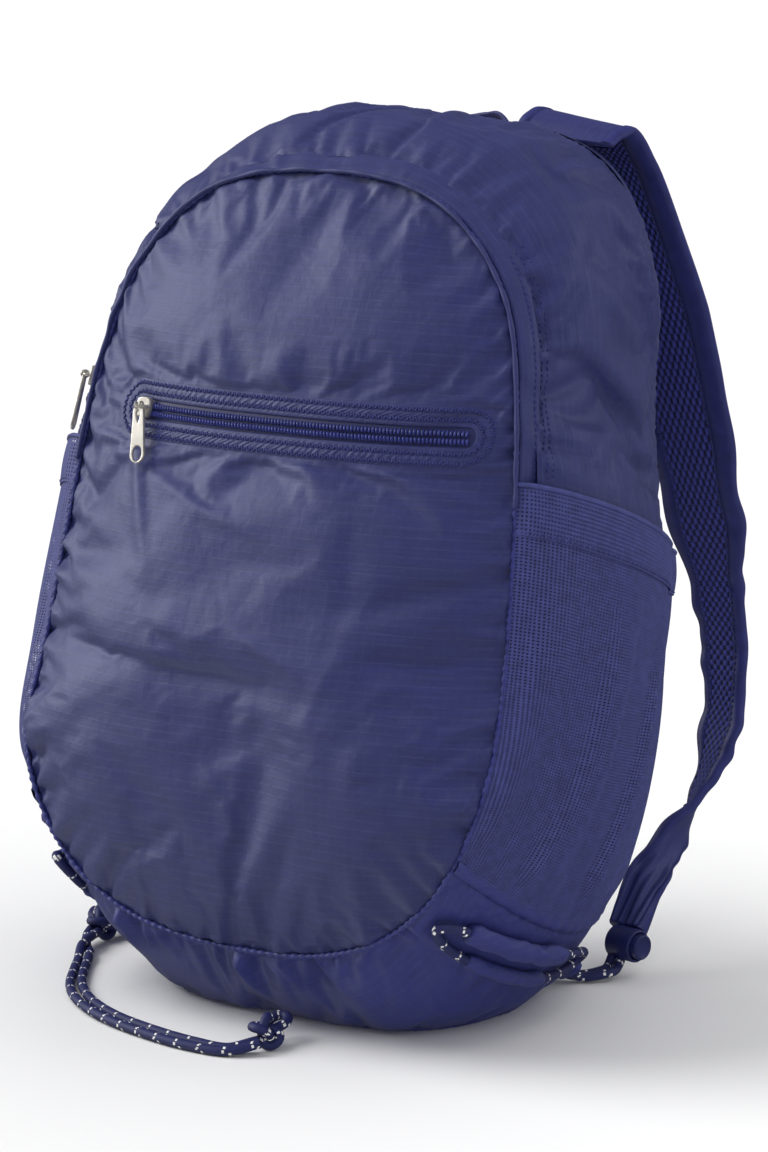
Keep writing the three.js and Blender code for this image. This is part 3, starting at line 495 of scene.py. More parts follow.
def front_depth(x, z):
    """The front's y at a place seen from the front."""
    x, z = np.broadcast_arrays(np.asarray(x, float), np.asarray(z, float))
    aim = np.arctan2(z - FRONT_HEART[2], x - FRONT_HEART[0])
    aim = SEAM_TURN[0] + np.mod(aim - SEAM_TURN[0], 2 * math.pi)
    station = np.interp(aim, SEAM_TURN, SEAM_TABLE)
    seam = rail(0, station)
    reach = np.hypot(x - FRONT_HEART[0], z - FRONT_HEART[2])
    reach = reach / np.hypot(seam[..., 0] - FRONT_HEART[0], seam[..., 2] - FRONT_HEART[2])
    return front_point(station, np.minimum(1, reach))[..., 1]


def front_spot(x, z, lift=0.0):
    """Points of the plain front at places seen from the front, lifted towards the viewer."""
    x, z = np.broadcast_arrays(np.asarray(x, float), np.asarray(z, float))
    return np.stack([x, front_depth(x, z) - lift, z], axis=-1)


# Camera, floor and light

VIEW_AZIMUTH = math.radians(34.0)
VIEW_ELEVATION = math.radians(11.0)
VIEW_DISTANCE = 2.0
VIEW_TARGET = Vector((0.0236, -0.0441, 0.2228))
VIEW_LENS = 121.7
FLOOR_HALF = 40

# Three lights show in the satin of the cloth, one as if off the floor. The others light it evenly.
# Name, aim, strength, angle in degrees, satin.
LIGHTS = (
    ("gloss", (-0.95, -0.35, 0.4), 2.4, 36, True),
    ("gloss_rear", (0.75, 0.5, 0.45), 0.4, 16, True),
    ("gloss_low", (-0.5, -0.35, -0.75), 0.35, 20, True),
    ("key", (-0.75, -0.4, 0.9), 2.1, 40, False),
    ("fill", (0.85, -0.35, 0.4), 1.0, 100, False),
    ("top", (0.0, 0.0, 1.0), 1.1, 100, False),
    ("rear", (0.2, 0.9, 0.6), 1.0, 90, False),
)


def camera():
    level = math.cos(VIEW_ELEVATION)
    back = Vector((math.sin(VIEW_AZIMUTH) * level, -math.cos(VIEW_AZIMUTH) * level, math.sin(VIEW_ELEVATION)))
    data = bpy.data.cameras.new("view")
    data.sensor_width = 36
    data.lens = VIEW_LENS
    data.clip_end = 100
    view = place("view", data)
    view.location = VIEW_TARGET + back * VIEW_DISTANCE
    view.rotation_euler = back.to_track_quat("Z", "Y").to_euler()
    bpy.context.scene.camera = view


def floor():
    mesh = bpy.data.meshes.new("floor")
    corners = [(FLOOR_HALF * x, FLOOR_HALF * y, 0) for x, y in ((-1, -1), (1, -1), (1, 1), (-1, 1))]
    mesh.from_pydata(corners, [], [(0, 1, 2, 3)])
    pale = bpy.data.materials.new("pale_floor")
    pale.use_nodes = True
    shader = pale.node_tree.nodes["Principled BSDF"]
    shader.inputs["Base Color"].default_value = (0.86, 0.86, 0.86, 1)
    shader.inputs["Roughness"].default_value = 0.9
    mesh.materials.append(pale)
    sheet = place("floor", mesh)
    sheet.visible_glossy = False
    sheet.visible_shadow = False


def surroundings():
    """The camera sees a pale studio wall, which adds little light of its own."""
    world = bpy.data.worlds.new("studio")
    world.use_nodes = True
    nodes, links = world.node_tree.nodes, world.node_tree.links
    sky = nodes["Background"]
    sky.inputs["Color"].default_value = (1, 1, 1, 1)
    path = nodes.new("ShaderNodeLightPath")
    wall = nodes.new("ShaderNodeMapRange")
    wall.inputs["To Min"].default_value = 0.1
    wall.inputs["To Max"].default_value = 1.0
    links.new(path.outputs["Is Camera Ray"], wall.inputs["Value"])
    links.new(wall.outputs["Result"], sky.inputs["Strength"])
    bpy.context.scene.world = world


def lights():
    for name, aim, strength, angle, satin in LIGHTS:
        sun = bpy.data.lights.new(name, "SUN")
        sun.energy = strength
        sun.angle = math.radians(angle)
        lamp = place(name, sun)
        lamp.rotation_euler = Vector(aim).to_track_quat("Z", "Y").to_euler()
        lamp.visible_glossy = satin
        lamp.visible_diffuse = not satin


camera()
floor()
surroundings()
lights()
bpy.context.scene.view_settings.view_transform = "Standard"


# Materials

NAVY = (0.0195, 0.025, 0.13)
RIPSTOP_TINT = (0.065, 0.072, 0.18)
RIPSTOP_PITCH = 4.6
RIPSTOP_THREAD = 0.55
NYLON_GLOSS = (
    ("Specular IOR Level", 0.8), ("Specular Tint", (0.85, 0.88, 1.0, 1)), ("Sheen Weight", 0.05),
    ("Sheen Roughness", 0.4), ("Sheen Tint", (0.62, 0.64, 0.9, 1)),
)


def shade(colour, strength):
    return tuple(strength * c for c in colour)


class Nodes:
    """A material's node tree with short ways to add nodes."""

    def __init__(self, name, colour, roughness, extra=()):
        self.material = bpy.data.materials.new(name)
        self.material.use_nodes = True
        self.tree = self.material.node_tree
        self.shader = self.tree.nodes["Principled BSDF"]
        for key, value in (("Base Color", (*colour, 1)), ("Roughness", roughness), *extra):
            self.shader.inputs[key].default_value = value

    def add(self, kind, links=(), **values):
        node = self.tree.nodes.new(kind)
        for key, value in values.items():
            setattr(node, key, value)
        for socket, source in links:
            if isinstance(source, (int, float, tuple)):
                node.inputs[socket].default_value = source
            else:
                self.tree.links.new(source, node.inputs[socket])
        return node

    def math(self, operation, a, b=0.0):
        return self.add("ShaderNodeMath", [(0, a), (1, b)], operation=operation).outputs[0]

    def uv(self):
        """The cloth coordinates, and each of the two by itself."""
        where = self.add("ShaderNodeUVMap").outputs[0]
        split = self.add("ShaderNodeSeparateXYZ", [(0, where)])
        return where, split.outputs[0], split.outputs[1]

    def noise(self, scale, detail, where=None):
        where = where or self.add("ShaderNodeTexCoord").outputs["Object"]
        node = self.add("ShaderNodeTexNoise", [(0, where), ("Scale", scale), ("Detail", detail)])
        return node.outputs["Fac"]

    def lines(self, coordinate, pitch, width):
        """1 on thin lines every pitch of a coordinate, 0 between."""
        part = self.math("FRACT", self.math("DIVIDE", coordinate, pitch))
        away = self.math("ABSOLUTE", self.math("SUBTRACT", part, 0.5))
        ends = [(1, width / pitch), (2, 0.35 * width / pitch), (3, 0.0), (4, 1.0)]
        return self.add("ShaderNodeMapRange", [(0, away), *ends]).outputs[0]

    def tint(self, factor, low, high, spread=(0.3, 0.7)):
        ramp = self.add("ShaderNodeValToRGB", [(0, factor)])
        for stop, colour, position in zip(ramp.color_ramp.elements, (low, high), spread):
            stop.position = position
            stop.color = (*colour, 1)
        return ramp.outputs[0]

    def mix(self, factor, source, colour):
        node = self.add("ShaderNodeMix", data_type="RGBA")
        node.inputs[7].default_value = (*colour, 1)
        self.tree.links.new(factor, node.inputs[0])
        self.tree.links.new(source, node.inputs[6])
        return node.outputs[2]

    def colour(self, source):
        self.tree.links.new(source, self.shader.inputs["Base Color"])

    def bump(self, height, distance):
        """Relief with a depth in millimetres, over any relief that is there already."""
        normal = self.shader.inputs["Normal"]
        links = [("Height", height), ("Distance", distance / 1000), ("Strength", 1.0)]
        if normal.is_linked:
            links.append(("Normal", normal.links[0].from_socket))
        self.tree.links.new(self.add("ShaderNodeBump", links).outputs[0], normal)


def nylon(name, colour, crinkle=1.0):
    """Thin ripstop nylon: a faint grid of thicker threads, streaked yarn and a satin sheen."""
    n = Nodes(name, colour, 0.6, NYLON_GLOSS)
    where, u, v = n.uv()
    stretched = n.add("ShaderNodeMapping", [(0, where), (3, (0.045, 1.1, 1.0))]).outputs[0]
    cloth = n.tint(n.noise(0.9, 3, stretched), shade(colour, 0.86), shade(colour, 1.16))
    warp = n.math("MULTIPLY", n.lines(u, RIPSTOP_PITCH, RIPSTOP_THREAD), 0.5)
    grid = n.math("MAXIMUM", warp, n.lines(v, RIPSTOP_PITCH, RIPSTOP_THREAD))
    broken = n.math("GREATER_THAN", n.noise(0.35, 1, where), 0.47)
    grid = n.math("MULTIPLY", grid, n.math("ADD", n.math("MULTIPLY", broken, 0.7), 0.3))
    n.colour(n.mix(n.math("MULTIPLY", grid, 0.2), cloth, RIPSTOP_TINT))
    n.bump(grid, 0.035)
    n.bump(n.noise(2.2, 2, where), 0.05)
    n.bump(n.noise(60, 3), 0.9 * crinkle)
    return n.material


def spacer_mesh(name, colour):
    """Knitted spacer mesh: painted shade in the holes between the loops of yarn and a painted highlight on
    the loops.
    """
    n = Nodes(name, colour, 0.75)
    _, u, v = n.uv()
    across = n.math("COSINE", n.math("MULTIPLY", u, 2 * math.pi / KNIT_WIDE))
    along = n.math("COSINE", n.math("MULTIPLY", v, 2 * math.pi / KNIT_LONG))
    loops = n.math("ADD", n.math("MULTIPLY", n.math("MULTIPLY", across, along), 0.5), 0.5)
    # Painted shade in the holes, at 0.3 of the colour, and painted highlight on the loops, at 1.9 of it.
    n.colour(n.tint(loops, shade(colour, 0.3), shade(colour, 1.9), (0.2, 0.8)))
    return n.material


def plain(name, colour, roughness, grain, depth, extra=()):
    n = Nodes(name, colour, roughness, extra)
    n.colour(n.tint(n.noise(grain / 4, 3), shade(colour, 0.85), shade(colour, 1.15)))
    n.bump(n.noise(grain, 2), depth)
    return n.material


NYLON = nylon("nylon_ripstop", NAVY)
# A lighter, bluer copy of the ripstop: painted light for the floor's bounce onto the downward-facing base.
# The welt, the pockets' foot bindings, the corner tabs and the tunnels share it.
NYLON_BASE = nylon("nylon_base", (0.0215, 0.028, 0.182))
NYLON_STRAP = nylon("nylon_strap", (0.016, 0.0205, 0.138), crinkle=0.6)
NET = plain("net_yarn", (0.046, 0.055, 0.21), 0.65, 900, 0.05)
CORD = plain("cord_braid", shade(NAVY, 0.8), 0.65, 1200, 0.05)
TRACER = plain("cord_tracer", (0.8, 0.8, 0.78), 0.6, 1200, 0.05)
# The thread is painted 1.35 times lighter than the cloth: painted sheen, as its shader has none.
THREAD = plain("thread", shade(NAVY, 1.35), 0.55, 2000, 0.03)
BINDING = plain("binding", (0.018, 0.023, 0.15), 0.6, 700, 0.12)
# The spacer mesh is lighter and bluer than the strap: painted light, as the strap sits in shade.
SPACER = spacer_mesh("spacer_mesh", (0.02, 0.0255, 0.165))
ZIP_TAPE = plain("zip_tape", shade(NAVY, 0.75), 0.6, 900, 0.12)
# The coil is painted 1.5 times lighter than the cloth: a painted glint on its teeth.
ZIP_COIL = plain("zip_coil", shade(NAVY, 1.5), 0.28, 600, 0.02)
PLASTIC = plain("moulded_plastic", shade(NAVY, 0.8), 0.42, 500, 0.02)
METAL = plain("nickel", (0.7, 0.67, 0.61), 0.34, 300, 0.01, [("Metallic", 0.75)])


# Main cloth

SETTLE_STEPS = 12
TUCK_DEPTH = 2.0
TUCK_REACH = 2.6


def read_points(mesh):
    points = np.empty(len(mesh.vertices) * 3)
    mesh.vertices.foreach_get("co", points)
    return points.reshape(-1, 3)


def write_points(mesh, points):
    mesh.vertices.foreach_set("co", off_floor(points).ravel())
    mesh.update()


def settle(obj, pins, grow, pressure, bend, cap):
    """Cloth in its seams: the sheet is a little too large for them, so it puckers and bulges."""
    start = read_points(obj.data)
    group = obj.vertex_groups.new(name="pins")
    for weight in np.unique(np.round(pins[pins > 0.02], 1)):
        chosen = np.flatnonzero(np.isclose(np.round(pins, 1), weight))
        group.add(chosen.tolist(), float(min(1, weight)), "REPLACE")
    cloth = obj.modifiers.new("settle", "CLOTH")
    cloth.settings.quality = 5
    cloth.settings.mass = 0.1
    cloth.settings.tension_stiffness = 15
    cloth.settings.compression_stiffness = 15
    cloth.settings.shear_stiffness = 5
    cloth.settings.bending_stiffness = bend
    cloth.settings.vertex_group_mass = "pins"
    cloth.settings.use_pressure = True
    cloth.settings.uniform_pressure_force = pressure
    cloth.settings.shrink_min = -grow
    cloth.settings.effector_weights.gravity = 0
    cloth.collision_settings.use_collision = False
    cloth.point_cache.frame_start = 1
    cloth.point_cache.frame_end = SETTLE_STEPS
    for step in range(1, SETTLE_STEPS + 1):
        bpy.context.scene.frame_set(step)
    done = obj.evaluated_get(bpy.context.evaluated_depsgraph_get()).data
    move = read_points(done) - start
    far = np.linalg.norm(move, axis=1, keepdims=True)
    limit = cap / 1000
    move *= limit * np.tanh(far / limit) / np.maximum(far, 1e-9)
    obj.modifiers.remove(cloth)
    obj.vertex_groups.remove(group)
    bpy.context.scene.frame_set(1)
    write_points(obj.data, start + move)


def tuck(obj, inward, distance):
    """Turns a cloth's edge into its seam."""
    depth = TUCK_DEPTH / 1000 * np.exp(-(distance / TUCK_REACH) ** 2)
    write_points(obj.data, read_points(obj.data) + inward * depth[:, None])


def puckers(s, d, length, pitch, depth, reach, seed, closed=False):
    """Height of irregular folds that start at a seam: s runs along the seam, d away from it."""
    rng = np.random.default_rng(seed)
    count = int(length / pitch)
    places = (np.arange(count) + rng.uniform(-0.38, 0.38, count)) * length / count
    heights = rng.uniform(0.35, 1.0, count) * np.where(rng.random(count) < 0.62, -1, 1)
    widths = rng.uniform(0.22, 0.42, count) * pitch
    reaches = reach * rng.uniform(0.45, 1.7, count)
    leans = rng.uniform(-0.45, 0.45, count)
    total = np.zeros(np.broadcast(s, d).shape)
    for at, height, width, fade, lean in zip(places, heights, widths, reaches, leans):
        off = s - at - lean * d
        if closed:
            off = np.mod(off + length / 2, length) - length / 2
        total += height * np.exp(-(off / (width * (1 + d / 22))) ** 2 - d / fade)
    return depth * total * smooth(d, 0, 5)


def crumples(u, v, count, box, size, depth, seed):
    """Height of scattered creases on a sheet: u and v in millimetres within a box."""
    rng = np.random.default_rng(seed)
    total = np.zeros(np.broadcast(u, v).shape)
    for _ in range(count):
        turn = rng.uniform(0, math.pi)
        du, dv = u - rng.uniform(box[0], box[1]), v - rng.uniform(box[2], box[3])
        along, across = turned(du, dv, turn)
        long, wide = size * rng.uniform(0.6, 1.6), size * rng.uniform(0.12, 0.3)
        total += rng.uniform(-1, 1) * np.exp(-(along / long) ** 2 - (across / wide) ** 2)
    return depth * total


def ledge(x, z, at_x, at_z, turn, length, depth):
    """Height of a fold that hangs over: full on one side of a line, hollow on the other."""
    along, across = turned(x - at_x, z - at_z, math.radians(turn))
    return depth * np.tanh(across / 4.5) * np.exp(-np.abs(across) / 26 - (along / length) ** 4)


def pocket_swell(u, height):
    """How far the stuffed pack fills a side pocket."""
    up = np.sin(math.pi / 2 * np.clip(height, 0, 1)) ** 1.1
    return POCKET_FULL * np.sin(math.pi * np.clip(u, 0, 1)) ** 0.75 * up


def pocket_span(u):
    """Stations of a side pocket's foot and top."""
    foot = base_seam(u) + POCKET_FOOT * 0.4
    top = POCKET_TOP_FRONT + (POCKET_TOP_BACK - POCKET_TOP_FRONT) * np.clip(u, 0, 1) ** 1.3
    return foot, top


def stuffed(station, share):
    """How far the contents push the band out into the side pockets."""
    foot, top = pocket_span(share)
    height = (from_foot(station) - foot) / (top - foot)
    return np.maximum(pocket_swell(share, height) - 1.3, 0) * (1 - smooth(height, 0.98, 1.25)) * (height > 0)


def slump(station, share):
    """How far the half-filled top sinks, most at its left shoulder."""
    sink = 11 * np.exp(-((station - 9.2) / 0.7) ** 2) + 5 * np.exp(-((station - 7.6) / 1.1) ** 2)
    return sink * np.sin(math.pi * np.clip(share, 0, 1)) ** 0.7


def past_zip(x, z):
    """Offsets in x and z from the nearest place on the pocket zip's middle line, seen from the front."""
    nearest = ZIP_X + np.clip(x - ZIP_X, -ZIP_LENGTH / 2, ZIP_LENGTH / 2)
    return x - nearest, z - ZIP_Z


def cut_zip_slot(p, faces):
    """Moves points next to the zip slot to its edge and gives the points and faces that are left."""
    dx, dz = past_zip(p[:, 0], p[:, 2])
    away = np.hypot(dx, dz) + 1e-9
    inside = away - ZIP_SLOT / 2
    near = np.abs(inside) < 1.2
    inward = 1 - ZIP_SLOT / 2 / away[near]
    p[near, 0] -= dx[near] * inward
    p[near, 2] -= dz[near] * inward
    p[near, 1] = front_depth(p[near, 0], p[near, 2])
    inside[near] = 0
    faces = faces[~(inside[faces] <= 0).all(axis=1)]
    used = np.unique(faces)
    index = np.full(len(p), -1)
    index[used] = np.arange(len(used))
    return used, index[faces]


def front_cloth():
    rows, columns = 220, 160
    station, reach, distance = disc_grid(rows, columns, 0, FRONT_HEART)
    p = front_point(station, reach).reshape(-1, 3)
    x, z = p[:, 0].copy(), p[:, 2].copy()
    zip_away = np.hypot(*past_zip(x, z))
    # Puckers along the seam: strong where the sides draw it in, faint at the arch.
    around = np.interp(station.ravel(), SEAM_TABLE, SEAM_ALONG)
    seam = SEAM_ALONG[-1]
    turn = from_foot(station).ravel()
    drawn = 1 + 0.7 * smooth(turn, 2.2, 3.2) * (1 - smooth(turn, 4.6, 5.4)) - 0.55 * smooth(turn, 5.8, 6.8)
    lift = drawn * puckers(around, distance, seam, pitch=10, depth=4.0, reach=11, seed=3, closed=True)
    lift += puckers(around, distance, seam, pitch=6.5, depth=1.7, reach=6, seed=4, closed=True)
    creases = crumples(x, z, 40, (-135, 135, 60, 420), size=34, depth=1.3, seed=5)
    lift += creases * smooth(distance, 4, 30)
    for fold in FRONT_LEDGES:
        lift += ledge(x, z, *fold)
    # Puckers round the zip
    zip_arm = ZIP_LENGTH / 2.6
    zip_turn = np.arctan2(z - ZIP_Z, (x - ZIP_X) / 4) * zip_arm
    zip_round = 2 * math.pi * zip_arm
    past_facing = np.maximum(zip_away - 15, 0)
    lift += puckers(zip_turn, past_facing, zip_round, pitch=13, depth=2.4, reach=15, seed=6, closed=True)
    p[:, 1] -= lift * smooth(zip_away, 14, 20)
    used, faces = cut_zip_slot(p, outward(p, grid_faces(rows, columns)))
    p = p[used]
    distance = distance[used]
    obj = piece("front_cloth", p, faces, NYLON, nodes=["front_panel"], uv=p[:, [0, 2]])
    zip_away = np.hypot(*past_zip(p[:, 0], p[:, 2]))
    pins = np.maximum(distance < 0.5, 1 - smooth(zip_away, 13, 19))
    settle(obj, pins, grow=0.022, pressure=0.4, bend=3.5, cap=9)
    tuck(obj, np.array([0, 1.0, 0]), distance)
    thicken(obj, 0.9)
    return obj


def band_cloth(name, node, rows, columns, first, last, near, material, pin, grow, cap, creases, gather):
    """A cloth of the band: from one end seam to the other, and from near to the back seam."""
    u, v = np.meshgrid(np.linspace(0, 1, rows), np.linspace(0, 1, columns), indexing="ij")
    station = first(v) + (last(v) - first(v)) * u
    start = near(station)
    share = start + (1 - start) * v
    p = band_point(station, share)
    normal = band_normal(station, share)
    along = run_length(p[:, columns // 2])
    length = along[-1]
    run = np.broadcast_to(along[:, None], share.shape)
    width = band_depth(station)
    across = share * width
    to_back = width - across
    distance = np.minimum(np.minimum(across, to_back), np.minimum(u, 1 - u) * length)
    held = pin(station, share, p[..., 2])
    turn = from_foot(station)
    # The front edge is gathered, less so at the crown. The back edge is calmer.
    gathered = gather * (1 - 0.88 * smooth(turn, 5.6, 7.2))
    from_edge = across - start * width
    lift = gathered * puckers(run, from_edge, length, pitch=11, depth=4.0, reach=13, seed=11)
    lift += gathered * puckers(run, from_edge, length, pitch=6, depth=1.3, reach=8, seed=14)
    lift += puckers(run, to_back, length, pitch=14, depth=1.1, reach=12, seed=12)
    creased = crumples(run, across, creases, (0, length, 0, width.max()), size=32, depth=3.0, seed=13)
    lift += creased * smooth(distance, 3, 16)
    for fold in SIDE_LEDGES:
        lift += ledge(across, p[..., 2], *fold) * smooth(turn, 4.4, 5.0) * (1 - smooth(turn, 6.8, 7.4))
    lift = lift * (1 - held) * (p[..., 2] > 1.0) + stuffed(station, share) - slump(station, share)
    p = off_floor(p + normal * lift[..., None])
    obj = grid_piece(name, p, material, nodes=[node], uv=grid_uv(run, across))
    rim = np.zeros(u.shape, bool)
    rim[[0, -1]] = True
    rim[:, [0, -1]] = True
    steady = 0.7 * (1 - smooth(to_back, 6, 34))
    pins = np.maximum(np.maximum(rim, held), steady)
    settle(obj, pins.ravel(), grow, pressure=0.15, bend=2.5, cap=cap)
    tuck(obj, -normal.reshape(-1, 3), distance.ravel())
    return obj


def gusset_near(station):
    """Share of the band that the flap takes up along the arch."""
    in_arch = smooth(from_foot(station), FLAP_FROM + 0.02, FLAP_FROM + 0.08)
    return GUSSET_EDGE * in_arch / band_depth(station)


def side_pins(station, share, _):
    """Holds the side where a pocket covers it."""
    top = pocket_span(share)[1]
    return 1 - smooth(from_foot(station), top, top + 0.25)


def base_pins(station, _, height):
    """Holds the base where it stands and where the side cords run."""
    return np.maximum(height < 0.5, 1 - smooth(np.abs(np.abs(station) - 2.0), 0.1, 0.3))


def back_cloth():
    station, reach, distance = disc_grid(120, 92, 2, BACK_HEART)
    p = back_point(station, reach)
    obj = grid_piece("back_cloth", p, NYLON, nodes=["back_panel"], uv=p[..., [0, 2]].reshape(-1, 2))
    settle(obj, (distance < 0.5).astype(float), grow=0.03, pressure=0.4, bend=8, cap=6)
    tuck(obj, np.array([0, -1.0, 0]), distance)


front = front_cloth()
side = band_cloth("side_cloth", "gusset", 440, 70, base_seam, lambda v: LOOP - base_seam(v), gusset_near,
                  NYLON, side_pins, grow=0.05, cap=9, creases=150, gather=1.2)
band_cloth("base_cloth", "base", 230, 76, lambda v: -base_seam(v), base_seam, np.zeros_like, NYLON_BASE,
           base_pins, grow=0.03, cap=6, creases=46, gather=2.7)
back_cloth()


# Stitches and teeth

def lay_on(obj):
    """A function that lays points on a finished cloth and gives the cloth's normals there."""
    mesh = obj.data
    tree = BVHTree.FromPolygons([v.co for v in mesh.vertices], [p.vertices for p in mesh.polygons])

    def lay(points):
        found = [tree.find_nearest(Vector(p))[:2] for p in metres(points)]
        spots = np.array([spot for spot, _ in found]) * 1000 - SHIFT
        return spots, np.array([normal for _, normal in found])

    return lay


on_front = lay_on(front)
on_side = lay_on(side)

# A grain is a short rounded rod: two rings of points between two ends that dip into the cloth.
GRAIN_SIDES = 5
GRAIN_RING = [(math.cos(turn), math.sin(turn)) for turn in full_turn(GRAIN_SIDES)]
GRAIN = np.array([(-0.5, 0, -0.9)] + [(-0.3, c, s) for c, s in GRAIN_RING]
                 + [(0.3, c, s) for c, s in GRAIN_RING] + [(0.5, 0, -0.9)])
GRAIN_FACES = []
for k in range(GRAIN_SIDES):
    a, b = 1 + k, 1 + (k + 1) % GRAIN_SIDES
    c, d = b + GRAIN_SIDES, a + GRAIN_SIDES
    GRAIN_FACES += [(0, b, a), (a, b, c, d), (len(GRAIN) - 1, d, c)]


def grains(name, starts, ends, normals, radius, material, nodes=(), slot="nylon"):
    """Many small rounded stitches or teeth as one mesh, each between two points."""
    along = ends - starts
    cross = unit(np.cross(normals, along))
    up = unit(np.cross(along, cross))
    middle = (starts + ends) / 2
    points = (middle[:, None] + GRAIN[None, :, 0:1] * along[:, None]
              + radius * (GRAIN[None, :, 1:2] * cross[:, None] + GRAIN[None, :, 2:3] * up[:, None]))
    faces = [tuple(i + len(GRAIN) * k for i in face) for k in range(len(starts)) for face in GRAIN_FACES]
    piece(name, points.reshape(-1, 3), faces, material, nodes=nodes, slot=slot)


def row_of_stitches(line, normals, length=2.4, gap=1.0, lift=0.15, zigzag=0.0):
    """Starts, ends and normals of a row of stitches on a line with its surface normals."""
    along = run_length(line)
    cross = unit(np.cross(normals, tangents(line)))
    first = np.arange(0.3, along[-1] - length, length + gap)
    last = first + length
    turn = np.where(np.arange(len(first)) % 2, 1.0, -1.0)[:, None] * zigzag
    up = read_at(normals, along, first + length / 2)
    starts = read_at(line, along, first) + read_at(cross, along, first) * turn + up * lift
    ends = read_at(line, along, last) - read_at(cross, along, last) * turn + up * lift
    return starts, ends, up


def sew(name, rows, radius, slot="nylon"):
    starts, ends, normals = (np.concatenate(part) for part in zip(*rows))
    grains(name, starts, ends, normals, radius, THREAD, slot=slot)


# Front pocket zip

def oval(offset, step):
    """Places round the zip's middle line at a distance, as x and z."""
    half = ZIP_LENGTH / 2
    arc = np.linspace(-math.pi / 2, math.pi / 2, max(8, int(math.pi * offset / step)))
    right = np.stack([half + offset * np.cos(arc), offset * np.sin(arc)], axis=1)
    straight = int(2 * half / step)
    top = np.stack([np.linspace(half, -half, straight), np.full(straight, offset)], axis=1)
    ring = np.concatenate([right[:-1], top[:-1], -right[:-1], -top[:-1]])
    return np.concatenate([ring, ring[:1]]) + [ZIP_X, ZIP_Z]


def zip_facing():
    """A fine puckered facing round the slot, held by two rows of zigzag stitches."""
    count = 759
    step = np.arange(count)
    rings = []
    for offset, lift in FACING:
        ring = oval(offset, 0.5)
        x, z = read_at(ring, np.linspace(0, 1, len(ring)), np.linspace(0, 1, count + 1))[:-1].T
        wave = np.cos(step * 0.95 + 2.2 * np.sin(step * 0.13 + offset)) * np.cos(step * 0.31 + offset * 0.8)
        between = math.sin(math.pi * min(1, max(0, (offset - 5.2) / 9.0)))
        rings.append(front_spot(x, z, lift + 0.3 * wave * between))
    points = np.concatenate(rings)
    faces = outward(points, grid_faces(len(rings), count, around=True))
    piece("pocket_zip_facing", points, faces, NYLON, uv=points[:, [0, 2]])
    rows = []
    for offset in (12.6, 8.0):
        line, normals = on_front(front_spot(*oval(offset, 0.8).T))
        line = line + normals * 0.5
        rows.append(row_of_stitches(line, normals, length=1.5, gap=0.0, lift=0.2, zigzag=1.25))
    sew("pocket_zip_stitches", rows, 0.4)


def zip_tape():
    x = np.linspace(-ZIP_LENGTH / 2 - 6, ZIP_LENGTH / 2 + 6, 150) + ZIP_X
    z = np.linspace(-8, 8, 13)
    raised = 0.6 * np.exp(-z ** 2 / 9) - 0.6
    tape = front_spot(x[:, None], ZIP_Z + z[None], raised[None])
    uv = tape[..., [0, 2]].reshape(-1, 2)
    obj = grid_piece("pocket_zip_tape_cloth", tape, ZIP_TAPE, nodes=["pocket_zip_tape"], slot="zip", uv=uv)
    thicken(obj, 0.7)


def zip_teeth():
    x = np.arange(-ZIP_LENGTH / 2 + 8, ZIP_LENGTH / 2 + 1, TOOTH_PITCH) + ZIP_X
    starts, ends = [], []
    for upward, shift in ((-1, TOOTH_PITCH / 2), (1, 0.0)):
        starts.append(front_spot(x + shift, ZIP_Z + 0.15 * upward, 0.9))
        ends.append(front_spot(x + shift + 0.3, ZIP_Z + 3.5 * upward, 0.9))
    starts, ends = np.concatenate(starts), np.concatenate(ends)
    grains("pocket_zip_teeth", starts, ends, np.broadcast_to([0, -1.0, 0], starts.shape), 0.78, ZIP_COIL,
           nodes=["pocket_zip_coil"], slot="zip")


zip_facing()
zip_tape()
zip_teeth()


# Arch: flap, hidden zip, piping, and the stitched edge of the side

def band_strip(station, distances, lifts):
    rows = []
    for distance, lift in zip(distances, lifts):
        share = distance / band_depth(station)
        rows.append(off_band(station, share, lift - slump(station, share)))
    return np.stack(rows, axis=1)


def flap_cloth(station, length):
    """The flap lies flatter over the crown and is rough along its free edge."""
    flat_lie = 1 - 0.75 * smooth(from_foot(station), 6.2, 7.4)
    lifts = []
    for distance, lift in FLAP:
        away = np.full_like(length, 4 + distance)
        rough = puckers(length, away, length[-1], pitch=12, depth=2.3, reach=14, seed=21)
        lifts.append(lift * flat_lie + min(1, distance / 5) * rough)
    distances = [distance for distance, _ in FLAP]
    strip = band_strip(station, distances, lifts)
    uv = grid_uv(length[:, None], np.array(distances)[None])
    thicken(grid_piece("flap_cloth", strip, NYLON, nodes=["zip_flap"], uv=uv), 0.8)
    return strip


def arch_stitches(station, flap):
    """Two rows on the side's edge and one on the flap, each up the straight part of the arch."""
    rows = []
    rise = np.linspace(ARCH_FROM, ARCH_STITCHED_TO, 160)
    for distance in (GUSSET_EDGE + 4.6, GUSSET_EDGE + 7.6):
        for s in (rise, LOOP - rise):
            share = distance / band_depth(s)
            spots, normals = on_side(off_band(s, share, stuffed(s, share)))
            rows.append(row_of_stitches(spots, normals, length=2.0, gap=1.2))
    normals = band_normal(station, FLAP[FLAP_STITCH_ROW][0] / band_depth(station))
    for chosen in (station < ARCH_STITCHED_TO, station > LOOP - ARCH_STITCHED_TO):
        rows.append(row_of_stitches(flap[chosen, FLAP_STITCH_ROW], normals[chosen]))
    sew("arch_stitches", rows, 0.42)


